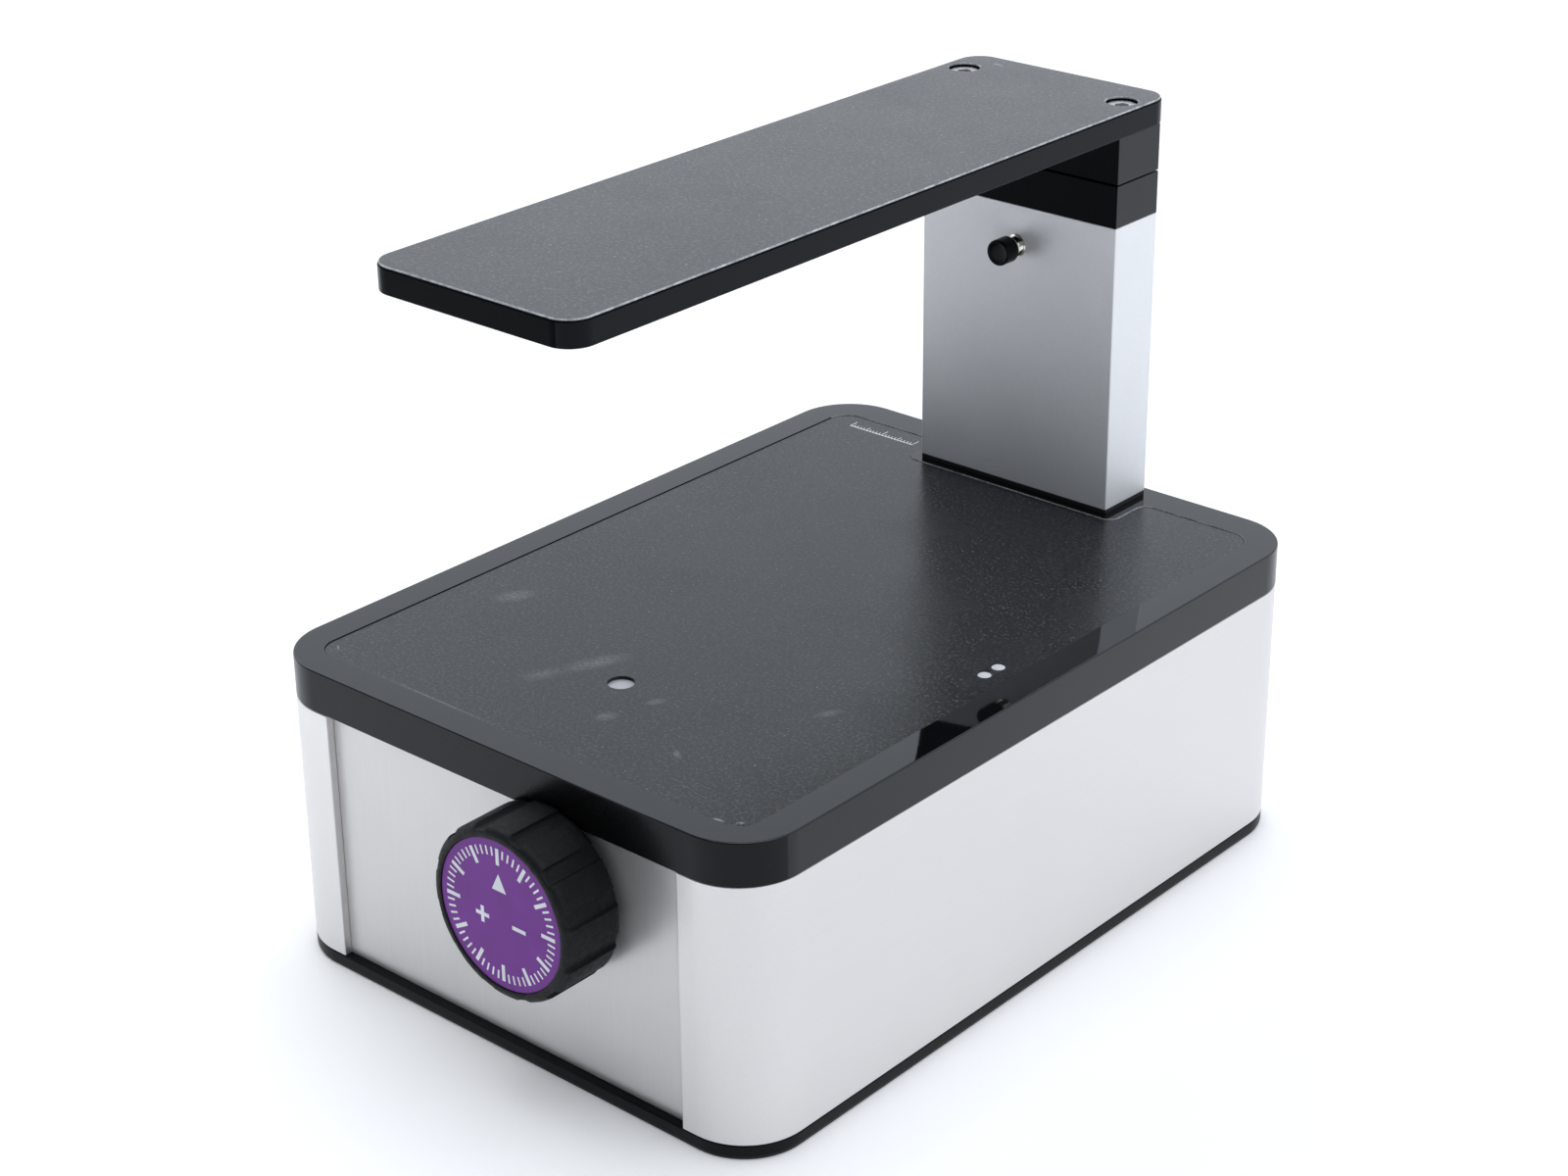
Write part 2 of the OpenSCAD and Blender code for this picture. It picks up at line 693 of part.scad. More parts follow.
module main_board() color("#1c5a34") difference() {
    block([board_low[0], board_low[1], board_z], [board_high[0], board_high[1], board_z + board_t]);
    for (p = board_corners) rod(p[0], p[1], board_z - CUT, board_z + board_t + CUT, M3[0]);
}

module board_parts() color("#222222") for (c = chips) translate([c[0], c[1] - c[3] / 2, board_z + board_t])
    cube([c[2], c[3], chip_t]);

// Each standoff's stud fills its hole in the board and stands a little above it
module board_standoffs() color("silver") for (p = board_corners) {
    rod(p[0], p[1], shell_z, board_z, standoff_r);
    rod(p[0], p[1], board_z - EPS, board_z + board_t + stud_out, M3[0]);
}

module battery_tray() color("#2c2c2e") {
    tray_x = cell_l / 2 + tray_wall;
    tray_y = [cell_ys[0] - tray_margin, cell_ys[1] + tray_margin];
    block([-tray_x, tray_y[0], shell_z], [tray_x, tray_y[1], shell_z + tray_floor]);
    for (x = [-tray_x, tray_x - tray_wall])
        block([x, tray_y[0], shell_z], [x + tray_wall, tray_y[1], shell_z + tray_h]);
}

module battery_cells() color("#3a74b8") for (y = cell_ys)
    translate([-cell_l / 2, y, shell_z + tray_floor + cell_r])
        rotate([0, 90, 0]) cylinder(r = cell_r, h = cell_l, $fn = ROUND);

// ---- arm ----

module arm_outline(inset) rounded(arm_w - 2 * inset, arm_l - 2 * inset, arm_r - inset);

module arm_plate() color("#15161a") difference() {
    translate([0, 0, arm_z]) linear_extrude(arm_t) arm_outline(0);
    at_post(arm_screw_x) rod(0, 0, arm_film_z - counterbore_h, arm_film_z + CUT, counterbore_r);
    at_post(arm_screw_x) rod(0, 0, arm_z - CUT, arm_film_z, M4[0]);
    rod(opt[0], opt[1], arm_z - CUT, arm_z + lamp_seat_h, lamp_seat_r);
    rod(opt[0], opt[1], arm_z, arm_film_z, channel_w / 2);
    rod(0, post_y, arm_z - CUT, arm_film_z + CUT, pin_bore_r);
    block([-channel_w / 2, opt[1], arm_film_z - channel_h], [channel_w / 2, post_y, arm_film_z + CUT]);
}

module arm_film() color("#70757d") translate([0, 0, arm_film_z]) linear_extrude(arm_film_t) difference() {
    arm_outline(0.3);
    for (sx = [-1, 1]) translate([sx * arm_screw_x, post_y]) circle(r = counterbore_r, $fn = ROUND);
}

module arm_screws() color("silver")
    at_post(arm_screw_x) translate([0, 0, arm_film_z - counterbore_h]) cap_screw(M4, arm_screw_l);

module swivel_head() color("#141414") difference() {
    translate([0, 0, head_block_z]) linear_extrude(head_block_h) post_section();
    rod(0, post_y, head_block_z - CUT, arm_z + CUT, pin_r);
    at_post(arm_screw_x) rod(0, 0, arm_film_z - counterbore_h - arm_screw_l, arm_z + CUT, M4[0]);
}

module swivel_pin() color("silver") difference() {
    rod(0, post_y, base_block_z + pin_foot, arm_z, pin_r);
    rod(0, post_y, base_block_z, arm_z + CUT, pin_bore_r);
}

module swivel_collar() color("#8a8d90") difference() {
    rod(0, post_y, base_block_z + pin_foot, base_block_z + pin_foot + collar_h, collar_r);
    rod(0, post_y, base_block_z, base_block_z + pin_foot + collar_h + CUT, pin_r);
}

module arm_lead() color("#262626") sweep(ARM_LEAD, LEAD_R, 8);

module lamp_bezel() color("#0f0f0f") difference() {
    rod(opt[0], opt[1], arm_z, arm_z + bezel_t, lamp_seat_r);
    translate([opt[0], opt[1], arm_z - EPS]) cylinder(r1 = 5.8, r2 = 5, h = bezel_t + 2 * EPS, $fn = ROUND);
}

module condenser_lens() color("#dfe8f2")
    rod(opt[0], opt[1], arm_z + bezel_t, arm_z + bezel_t + lens_t, condenser_r);

module lamp_board() color("#f2f2ee") {
    rod(opt[0], opt[1], arm_z + lamp_seat_h - lamp_board_t, arm_z + lamp_seat_h, lamp_seat_r - 0.2);
    translate([opt[0], opt[1], arm_z + lamp_seat_h - lamp_board_t - led_t / 2])
        cube([led_w, led_w, led_t], center = true);
}

foot_mat();
base_plate();
base_screws();
left_shell();
right_shell();
front_panel();
rear_panel();
pillars();
deck();
deck_screws();
stage_film();
port_window();
status_lights();
post_gasket();
post();
post_bolts();
swivel_base();
swivel_base_screws();
switch_bush();
switch_body();
button_cap();
button_plunger();
return_spring();
focus_bush();
focus_knob();
knob_label();
knob_shaft();
knob_pinion();
reduction_gear();
layshaft();
rack_pinion();
gear_frame();
frame_screws();
layshaft_bushes();
carriage();
focus_rack();
guide_bushes();
guide_rods();
rod_feet();
objective_barrel();
objective_lens();
camera_tube();
camera_board();
main_board();
board_parts();
board_standoffs();
battery_tray();
battery_cells();
charge_socket();
post_lead();
arm_plate();
arm_film();
arm_screws();
swivel_head();
swivel_pin();
swivel_collar();
lamp_board();
condenser_lens();
lamp_bezel();
arm_lead();
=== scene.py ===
import json
import math

import bmesh
import bpy
from mathutils import Matrix, Vector


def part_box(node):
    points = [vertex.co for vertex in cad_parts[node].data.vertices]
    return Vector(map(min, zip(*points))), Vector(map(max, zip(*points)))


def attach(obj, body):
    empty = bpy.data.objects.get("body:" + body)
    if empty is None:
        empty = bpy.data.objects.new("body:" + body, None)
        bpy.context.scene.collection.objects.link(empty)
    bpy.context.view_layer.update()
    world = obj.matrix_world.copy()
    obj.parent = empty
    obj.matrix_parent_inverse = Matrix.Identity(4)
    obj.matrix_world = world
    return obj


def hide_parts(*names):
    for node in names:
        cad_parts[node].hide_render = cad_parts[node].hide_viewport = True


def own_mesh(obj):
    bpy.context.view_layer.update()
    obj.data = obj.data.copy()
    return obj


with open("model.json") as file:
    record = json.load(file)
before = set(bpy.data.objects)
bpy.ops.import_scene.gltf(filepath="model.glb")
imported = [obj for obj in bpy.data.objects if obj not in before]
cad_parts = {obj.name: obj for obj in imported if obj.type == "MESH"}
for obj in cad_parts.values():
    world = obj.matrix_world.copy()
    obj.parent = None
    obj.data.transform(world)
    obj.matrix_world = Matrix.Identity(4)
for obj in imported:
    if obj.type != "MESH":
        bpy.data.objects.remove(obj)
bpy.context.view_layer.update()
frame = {"nodes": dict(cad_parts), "record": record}

MM = 0.001
NODE_BODY = {n: b for b, nodes in frame["record"]["behaviour"]["bodies"].items() for n in nodes}
NODE_SLOT = {s["node"]: s["material_slot"] for s in frame["record"]["subparts"]}

# ---------------------------------------------------------------- sizes, in millimetres

# base
CORNER_R = 15.0
WALL = 2.0
MAT_INSET = 0.4
BUSH_HOLE_R = 4.05

# the pocket in the deck, and the film in it
POCKET_R = 5.5
POCKET_DEPTH = 0.5
FILM_GAP = 0.15
NOTCH_R = 3.0
NOTCH_SIDE = 3.2
NOTCH_FRONT = 1.85
PORT_R = 3.0
LIGHT_R = 1.5

# arm and its screws
ARM_R = 6.0
COUNTERBORE_R = 3.75
LAMP_SEAT_H = 3.2
HEAD_R = 3.5
HEAD_H = 3.2
SHANK_R = 2.0
SOCKET_R = 1.74
SOCKET_DEPTH = 2.0

# push button
PLUNGER_BORE_R = 1.32
PLUNGER_HOLD = 1.6
BUSH_BORE_R = 1.36
BUSH_RIM_T = 0.5
BUSH_RIM_OUT = 0.3
THREAD_PITCH = 0.42
THREAD_DEPTH = 0.2
SPRING_WIRE_R = 0.2
SPRING_TURNS = 4

# focus knob and its label
KNOB_GROOVES = 12
GROOVE_DEPTH = 0.9
GROOVE_HALF = 1.8
SHAFT_HOLE_R = 2.6
SHAFT_HOLE_DEPTH = 9.0
TICKS = 60


def size(node):
    """A CAD node's lowest and highest corners, in millimetres."""
    low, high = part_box(node)
    return low / MM, high / MM


# ---------------------------------------------------------------- camera, made first

# angles in degrees and lengths in millimetres; across and up move the picture's centre off the origin
CAMERA = {
    "azimuth": 41.205,
    "elevation": 25.157,
    "roll": -0.601,
    "distance": 721.8,
    "across": -4.77,
    "up": 67.22,
}
LENS = 70.52
SENSOR = 36.0


def make_camera():
    turn, lift, roll = (math.radians(CAMERA[k]) for k in ("azimuth", "elevation", "roll"))
    back = Vector((math.sin(turn) * math.cos(lift), -math.cos(turn) * math.cos(lift), math.sin(lift)))
    right = Vector((math.cos(turn), math.sin(turn), 0))
    up = back.cross(right)
    rolled_right = math.cos(roll) * right + math.sin(roll) * up
    rolled_up = math.cos(roll) * up - math.sin(roll) * right
    place = CAMERA["across"] * rolled_right + CAMERA["up"] * rolled_up + CAMERA["distance"] * back
    data = bpy.data.cameras.new("camera")
    data.lens, data.sensor_width = LENS, SENSOR
    data.clip_start, data.clip_end = 0.05, 20
    camera = bpy.data.objects.new("camera", data)
    axes = Matrix((rolled_right, rolled_up, back)).transposed().to_4x4()
    camera.matrix_world = Matrix.Translation(place * MM) @ axes
    bpy.context.scene.collection.objects.link(camera)
    bpy.context.scene.camera = camera


make_camera()

# ---------------------------------------------------------------- shader helpers


PAINTS = {}


class Paint:
    """A material's node tree, kept in PAINTS. Texture scales are the size of a feature in millimetres."""

    def __init__(self, name, color, roughness, metallic=0.0, ior=1.5, coat=0.0, shine=0.5):
        PAINTS[name] = self
        self.material = bpy.data.materials.new(name)
        self.material.use_nodes = True
        self.nodes = self.material.node_tree.nodes
        self.links = self.material.node_tree.links
        self.bsdf = self.nodes["Principled BSDF"]
        self.set("Base Color", (*color, 1.0))
        self.set("Roughness", roughness)
        self.set("Metallic", metallic)
        self.set("IOR", ior)
        self.set("Coat Weight", coat)
        self.set("Specular IOR Level", shine)
        self.coords = self.nodes.new("ShaderNodeTexCoord").outputs["Object"]
        self.normal = None

    def set(self, socket, value):
        self.bsdf.inputs[socket].default_value = value

    def node(self, kind, **settings):
        made = self.nodes.new(kind)
        for key, value in settings.items():
            setattr(made, key, value)
        return made

    def feed(self, node, **inputs):
        """Sets a node's inputs by name, from numbers or from other nodes' outputs."""
        for key, value in inputs.items():
            socket = node.inputs[key.replace("_", " ")]
            if isinstance(value, bpy.types.NodeSocket):
                self.links.new(value, socket)
            else:
                socket.default_value = value
        return node

    def noise(self, grain, detail=3.0, stretch=(1, 1, 1), rough=0.55, offset=0.0):
        """Noise from 0 to 1 with features of about `grain` mm, drawn out along the axes by `stretch`."""
        mapping = self.feed(self.node("ShaderNodeMapping"), Vector=self.coords)
        mapping.inputs["Scale"].default_value = [1 / s for s in stretch]
        mapping.inputs["Location"].default_value = (offset, offset * 0.7, offset * 1.3)
        texture = self.node("ShaderNodeTexNoise")
        scale = 1 / (grain * MM)
        self.feed(texture, Vector=mapping.outputs[0], Scale=scale, Detail=detail, Roughness=rough)
        return texture.outputs["Fac"]

    def scaled(self, value, low, high, out_low, out_high):
        """`value` from low..high is mapped to out_low..out_high and held there."""
        node = self.node("ShaderNodeMapRange")
        self.feed(node, Value=value, From_Min=low, From_Max=high, To_Min=out_low, To_Max=out_high)
        return node.outputs["Result"]

    def math(self, operation, a, b=0.0):
        node = self.node("ShaderNodeMath", operation=operation)
        for socket, value in zip(node.inputs, (a, b)):
            if isinstance(value, bpy.types.NodeSocket):
                self.links.new(value, socket)
            else:
                socket.default_value = value
        return node.outputs[0]

    def mix(self, share, a, b):
        """Colour a where share is 0 and colour b where it is 1. Colours may be sockets."""
        node = self.node("ShaderNodeMix", data_type="RGBA")
        sockets = [node.inputs[0], node.inputs[6], node.inputs[7]]
        for socket, value in zip(sockets, (share, a, b)):
            if isinstance(value, bpy.types.NodeSocket):
                self.links.new(value, socket)
            else:
                socket.default_value = value if isinstance(value, float) else (*value, 1.0)
        return node.outputs[2]

    def color(self, value):
        self.links.new(value, self.bsdf.inputs["Base Color"])

    def roughness(self, value):
        self.links.new(value, self.bsdf.inputs["Roughness"])

    def bump(self, height, depth, strength=1.0):
        """Adds relief: `height` from 0 to 1 stands for `depth` mm."""
        node = self.feed(self.node("ShaderNodeBump"), Height=height, Distance=depth * MM, Strength=strength)
        if self.normal is not None:
            self.links.new(self.normal, node.inputs["Normal"])
        self.normal = node.outputs["Normal"]
        self.links.new(self.normal, self.bsdf.inputs["Normal"])

    def spot(self, x, y, angle, length, width, soft=1.0):
        """1 inside a soft ellipse on a level face, 0 outside. Sizes in mm, angle in degrees from +X."""
        mapping = self.node("ShaderNodeMapping", vector_type="TEXTURE")
        self.feed(mapping, Vector=self.coords)
        mapping.inputs["Location"].default_value = (x * MM, y * MM, 0)
        mapping.inputs["Rotation"].default_value = (0, 0, math.radians(angle))
        mapping.inputs["Scale"].default_value = (length / 2 * MM, width / 2 * MM, 1000)
        far = self.node("ShaderNodeVectorMath", operation="LENGTH")
        self.links.new(mapping.outputs[0], far.inputs[0])
        return self.scaled(far.outputs["Value"], 1 - soft, 1.0, 1.0, 0.0)


# ---------------------------------------------------------------- materials, one for each slot

# specular tint that paints a cool blue cast into the reflections of the films and black sheets, standing in
# for the room's bluish light
COOL_GLOSS = (0.88, 0.95, 1.0, 1.0)


def shades(color, dark, light):
    """The colour times dark, and the colour times light."""
    return [c * dark for c in color], [min(1.0, c * light) for c in color]


def satin_metal(name, color, roughness, grain_mm, stretch, contrast=0.03, depth=0.0012, metallic=1.0):
    """Aluminium with a directional grain and a faint cloudiness."""
    p = Paint(name, color, roughness, metallic)
    lines = p.noise(grain_mm, 4, stretch)
    both = p.math("ADD", lines, p.noise(28, 2))
    p.roughness(p.scaled(both, 0.6, 1.4, roughness - 0.07, roughness + 0.07))
    p.color(p.mix(p.scaled(both, 0.7, 1.3, 0.0, 1.0), *shades(color, 1 - contrast, 1 + contrast)))
    p.bump(lines, depth)


def black_sheet(name, color, roughness, grain_mm=0.0, stretch=(1, 1, 1), depth=0.0, shine=0.5):
    """Black sheet: polished, or with saw lines where a grain is given, and a little dust."""
    p = Paint(name, color, roughness, ior=1.49, shine=shine)
    # painted cool blue cast on the reflections
    p.set("Specular Tint", COOL_GLOSS)
    dust = p.noise(0.35, 2, offset=3.0)
    specks = p.scaled(dust, 0.76, 0.82, 0.0, 0.35)
    p.color(p.mix(specks, color, (0.25, 0.25, 0.26)))
    smears = p.noise(9, 4, offset=1.0)
    p.roughness(p.scaled(smears, 0.35, 0.75, roughness, roughness + min(0.07, roughness)))
    if grain_mm:
        p.bump(p.noise(grain_mm, 3, stretch), depth)


# worn marks: centre x and y, angle from +X in degrees, length, width, strength; lengths in millimetres
SCUFFS = [
    # smears round the port
    (-10.6, -55.5, 66.6, 19, 6.4, 0.42),
    (-15.6, -66.6, 66.6, 12, 6.0, 0.28),
    (-48.0, -43.0, 62, 12, 6.6, 0.34),
    (11.8, -60.5, 64, 6.0, 3.2, 0.38),
    (8.4, -72.0, 60, 6.5, 4.6, 0.40),
    (31.0, -74.9, -35, 4.4, 1.8, 0.50),
    (42.8, -41.6, 66, 8.0, 3.2, 0.30),
    (2.0, -35.0, 65, 2.2, 0.5, 0.35),
    # long fine scratches
    (-34.0, -20.0, 60, 12, 0.5, 0.12),
    (18.0, 8.0, 40, 20, 0.35, 0.12),
    (-20.0, 30.0, 75, 26, 0.3, 0.12),
    (40.0, 22.0, 20, 14, 0.3, 0.14),
    # wear along the front edge and at its corners
    (-24.0, -89.5, 0, 44, 0.8, 0.40),
    (55.3, -89.4, 8, 3.4, 1.1, 1.0),
    (59.5, -87.5, 38, 2.2, 0.9, 1.0),
    (-58.8, -86.2, -40, 3.0, 0.7, 0.9),
]
ARM_MARKS = [
    # the worn spot beside one screw
    (-18.0, 92.5, 12, 3.0, 0.9, 0.75),
    (-16.5, 92.0, 70, 1.6, 0.5, 0.7),
    # fine scratches
    (-6, 40, 80, 18, 0.25, 0.30),
    (9, -20, 60, 9, 0.25, 0.35),
    (-14, -60, 30, 8, 0.3, 0.3),
    (6, -78, 50, 5, 0.4, 0.35),
    (14, -48, 75, 12, 0.25, 0.3),
    (-8, 5, 15, 6, 0.25, 0.3),
    (18, 30, 78, 10, 0.25, 0.35),
    (2, 62, 30, 4, 0.3, 0.35),
    (-20, -12, 86, 14, 0.25, 0.25),
    (12, -86, 10, 7, 0.35, 0.3),
]


def film(name, color, roughness, marks, mark_color, grit, shine=0.5):
    """Matt textured film with dust specks, cloudy wear and the marks given."""
    p = Paint(name, color, roughness, ior=1.5, shine=shine)
    # painted cool blue cast on the reflections
    p.set("Specular Tint", COOL_GLOSS)
    grain = p.noise(0.75, 3, rough=0.7)
    cloud = p.noise(26, 4)
    base = p.mix(p.scaled(cloud, 0.3, 0.75, 0.0, 1.0), *shades(color, 0.8, 1.25))
    base = p.mix(p.scaled(grain, 0.48, 0.74, 0.0, grit), base, mark_color)
    dust = p.noise(0.7, 1, offset=7.0)
    base = p.mix(p.scaled(dust, 0.73, 0.80, 0.0, 0.6), base, mark_color)
    wear_and_highlight = None
    breakup = p.scaled(p.noise(0.8, 3, offset=2.0), 0.3, 0.6, 0.25, 1.0)
    for x, y, angle, length, width, strength in marks:
        patch = p.math("MULTIPLY", p.spot(x, y, angle, length, width), strength)
        wear_and_highlight = patch if wear_and_highlight is None else p.math("MAXIMUM", wear_and_highlight, patch)
    wear_and_highlight = p.math("MULTIPLY", wear_and_highlight, breakup)
    p.color(p.mix(wear_and_highlight, base, mark_color))
    p.roughness(p.scaled(cloud, 0.3, 0.75, roughness - 0.05, roughness + 0.06))
    p.bump(grain, 0.025, 0.9)


def wear_and_highlight_edge(name, dark, light):
    """A pale line painted on a cut edge, broken here and there: wear where the surface has rubbed through,
    and on the deck pocket's back rim a painted highlight.
    """
    p = Paint(name, dark, 0.4)
    long_breaks = p.scaled(p.noise(3.0, 3, offset=5.0), 0.34, 0.60, 0.40, 1.0)
    short_breaks = p.scaled(p.noise(0.6, 2, offset=9.0), 0.3, 0.55, 0.5, 1.0)
    p.color(p.mix(p.math("MULTIPLY", long_breaks, short_breaks), dark, light))
    p.bump(p.noise(0.4, 2), 0.01)


def printed_plastic(name, color, roughness):
    """Sintered or printed plastic: a coarse, sparkling grain in relief."""
    p = Paint(name, color, roughness, shine=0.24)
    grain = p.noise(0.45, 3, rough=0.75)
    coarse = p.noise(1.4, 2)
    p.color(p.mix(p.scaled(grain, 0.5, 0.75, 0.0, 0.6), color, [c * 4 + 0.012 for c in color]))
    p.roughness(p.scaled(coarse, 0.3, 0.7, roughness - 0.08, roughness + 0.08))
    p.bump(grain, 0.07, 0.8)
    p.bump(coarse, 0.05, 0.4)


def plain(name, color, roughness, metallic=0.0, grain_mm=0.5, depth=0.01, coat=0.0, shine=0.5):
    """A finish with a fine relief and a slight change of shade."""
    p = Paint(name, color, roughness, metallic, coat=coat, shine=shine)
    grain = p.noise(grain_mm, 3)
    cloud = p.noise(8, 2, offset=4.0)
    p.color(p.mix(p.scaled(cloud, 0.3, 0.7, 0.0, 1.0), *shades(color, 0.92, 1.06)))
    p.roughness(p.scaled(grain, 0.3, 0.7, max(0.02, roughness - 0.05), roughness + 0.05))
    p.bump(grain, depth)


def turned_metal(name, color, roughness):
    """Metal with fine turning marks along Z."""
    p = Paint(name, color, roughness, metallic=1.0)
    marks = p.noise(0.12, 2, (8, 8, 1))
    p.color(p.mix(p.scaled(marks, 0.3, 0.7, 0.0, 1.0), *shades(color, 0.9, 1.08)))
    p.bump(marks, 0.004)


def glass(name, color, roughness):
    """Coated glass with a faint unevenness."""
    p = Paint(name, color, roughness, ior=1.52)
    p.set("Transmission Weight", 0.9)
    p.roughness(p.scaled(p.noise(4, 2), 0.3, 0.7, roughness, roughness + 0.03))


def milky(name, color):
    """Diffuser that glows a little from the light that it scatters."""
    p = Paint(name, color, 0.42, ior=1.45)
    p.set("Subsurface Weight", 0.25)
    p.set("Subsurface Radius", (0.0008, 0.0008, 0.0009))
    p.bump(p.noise(0.18, 3), 0.012, 0.6)
    p.color(p.mix(p.scaled(p.noise(1.4, 2), 0.3, 0.7, 0.0, 1.0), *shades(color, 0.93, 1.0)))


def make_materials():
    """The record's slots, and a few more materials for faces that differ from the rest of their piece: some
    by finish, and some as lighter or darker copies with light and shade painted in.
    """
    along_y, upright, level = (1, 30, 1), (1, 1, 60), (1, 1, 1)
    satin_metal("shell_metal", (0.715, 0.702, 0.698), 0.38, 0.7, along_y, 0.02, metallic=0.85)
    satin_metal("panel_metal", (0.655, 0.645, 0.64), 0.34, 0.5, upright, 0.03, 0.003, 0.6)
    satin_metal("post_metal", (0.85, 0.86, 0.88), 0.52, 0.6, level, 0.03, 0.004, 0.30)
    turned_metal("screw_steel", (0.66, 0.66, 0.67), 0.38)
    turned_metal("rod_steel", (0.70, 0.70, 0.71), 0.18)
    turned_metal("nickel", (0.78, 0.76, 0.71), 0.14)
    turned_metal("bush_bronze", (0.55, 0.38, 0.16), 0.40)
    turned_metal("gear_brass", (0.72, 0.55, 0.25), 0.28)
    turned_metal("frame_metal", (0.60, 0.61, 0.63), 0.36)

    # sheet and blocks: colour, roughness, grain, stretch, depth, shine
    black_sheet("black_sheet", (0.004, 0.0042, 0.0045), 0.022)
    black_sheet("sheet_edge", (0.004, 0.0042, 0.0045), 0.20, 0.6, (8, 8, 1), 0.006, 0.38)
    # sheet_front: darker, duller copy of sheet_edge for the deck's front faces, painted shade
    black_sheet("sheet_front", (0.003, 0.0032, 0.0034), 0.22, 0.6, (8, 8, 1), 0.006, 0.21)
    black_sheet("base_sheet", (0.003, 0.003, 0.003), 0.35, 0.6, (8, 8, 1), 0.008, 0.15)
    # black_block is darker and duller than the other blacks: painted shade on every face of the blocks and
    # the arm plate but their sides
    black_sheet("black_block", (0.0011, 0.0012, 0.0016), 0.20, 0.7, (12, 12, 1), 0.006, 0.035)
    # lighter, shinier copy of black_block for the swivel blocks' sides: painted light
    black_sheet("lit_block_side", (0.003, 0.0032, 0.0034), 0.28, 0.5, (14, 14, 1), 0.012, 0.36)
    # lighter, shinier copy of black_block for the arm plate's long sides: painted light
    black_sheet("arm_edge", (0.002, 0.0022, 0.0036), 0.22, 0.5, (14, 14, 1), 0.008, 0.13)
    black_sheet("button_black", (0.0015, 0.0015, 0.0018), 0.30, 0.25, level, 0.004, 0.12)
    # pale edge line: wear on the arm film's edges, painted highlight on the deck pocket's back rim
    wear_and_highlight_edge("wear_and_highlight_edge", (0.05, 0.052, 0.055), (0.60, 0.63, 0.65))

    film("stage_matte", (0.0035, 0.004, 0.0045), 0.27, SCUFFS, (0.34, 0.35, 0.38), 0.19, 0.43)
    film("arm_matte", (0.018, 0.0195, 0.022), 0.26, ARM_MARKS, (0.50, 0.51, 0.53), 0.18)
    printed_plastic("printed_black", (0.0014, 0.0017, 0.0021), 0.55)
    glass("lens_glass", (0.85, 0.90, 0.95), 0.02)
    milky("frosted", (0.72, 0.73, 0.77))

    plain("label_purple", (0.175, 0.028, 0.290), 0.42, grain_mm=0.2, depth=0.004, shine=0.25)
    plain("label_white", (0.80, 0.82, 0.86), 0.40, grain_mm=0.2, depth=0.003)
    plain("mat_rubber", (0.012, 0.012, 0.012), 0.75, grain_mm=0.3, depth=0.04)
    plain("gasket", (0.006, 0.006, 0.006), 0.5, grain_mm=0.4)
    plain("gear_nylon", (0.78, 0.76, 0.68), 0.45)
    plain("carriage_metal", (0.02, 0.02, 0.022), 0.38, metallic=0.6, grain_mm=0.15)
    plain("board_green", (0.02, 0.14, 0.06), 0.30, grain_mm=0.3, coat=0.4)
    plain("board_white", (0.85, 0.85, 0.82), 0.35, grain_mm=0.3, coat=0.3)
    plain("chip_black", (0.03, 0.03, 0.03), 0.45, grain_mm=0.12)
    plain("cell_blue", (0.05, 0.17, 0.45), 0.25, grain_mm=2.0, depth=0.02)
    plain("switch_blue", (0.02, 0.04, 0.07), 0.40)
    plain("lead_black", (0.02, 0.02, 0.02), 0.45)


make_materials()

for node_name, node_object in frame["nodes"].items():
    node_object.data.materials.clear()
    node_object.data.materials.append(PAINTS[NODE_SLOT[node_name]].material)

# ---------------------------------------------------------------- outlines, lists of (x, y) in millimetres

ARC_STEP = math.radians(6)


def filleted(corners):
    """A closed outline through (x, y, radius) corners, each rounded by an arc of its radius."""
    points = []
    count = len(corners)
    for i, (x, y, r) in enumerate(corners):
        here = Vector((x, y))
        to_last = (Vector(corners[i - 1][:2]) - here).normalized()
        to_next = (Vector(corners[(i + 1) % count][:2]) - here).normalized()
        if r <= 0:
            points.append((x, y))
            continue
        half = to_last.angle(to_next) / 2
        centre = here + (to_last + to_next).normalized() * (r / math.sin(half))
        start = here + to_last * (r / math.tan(half)) - centre
        end = here + to_next * (r / math.tan(half)) - centre
        sweep = start.angle_signed(end)
        steps = max(2, math.ceil(abs(sweep) / ARC_STEP))
        for k in range(steps + 1):
            a = -sweep * k / steps
            c, s = math.cos(a), math.sin(a)
            points.append((centre.x + start.x * c - start.y * s, centre.y + start.x * s + start.y * c))
    return points


def rectangle(x0, y0, x1, y1, r):
    return filleted([(x0, y0, r), (x1, y0, r), (x1, y1, r), (x0, y1, r)])


def turns(count):
    """The cosine and sine of each of this many equal steps round a circle."""
    angles = [2 * math.pi * k / count for k in range(count)]
    return [(math.cos(a), math.sin(a)) for a in angles]


def ring(x, y, r, count=48):
    return [(x + r * c, y + r * s) for c, s in turns(count)]


# ---------------------------------------------------------------- mesh builders


def publish(name, bm, turn=None, smooth=40):
    """Turns a bmesh in millimetres into an object in metres with clean normals."""
    bmesh.ops.recalc_face_normals(bm, faces=bm.faces)
    mesh = bpy.data.meshes.new(name)
    bm.to_mesh(mesh)
    bm.free()
    if turn is not None:
        mesh.transform(turn)
    mesh.transform(Matrix.Scale(MM, 4))
    mesh.shade_smooth()
    mesh.set_sharp_from_angle(angle=math.radians(smooth))
    made = bpy.data.objects.new(name, mesh)
    bpy.context.scene.collection.objects.link(made)
    weighted = made.modifiers.new("weighted", "WEIGHTED_NORMAL")
    weighted.keep_sharp = True
    return made


def area(loop):
    return sum(x0 * y1 - x1 * y0 for (x0, y0), (x1, y1) in zip(loop, loop[1:] + loop[:1])) / 2


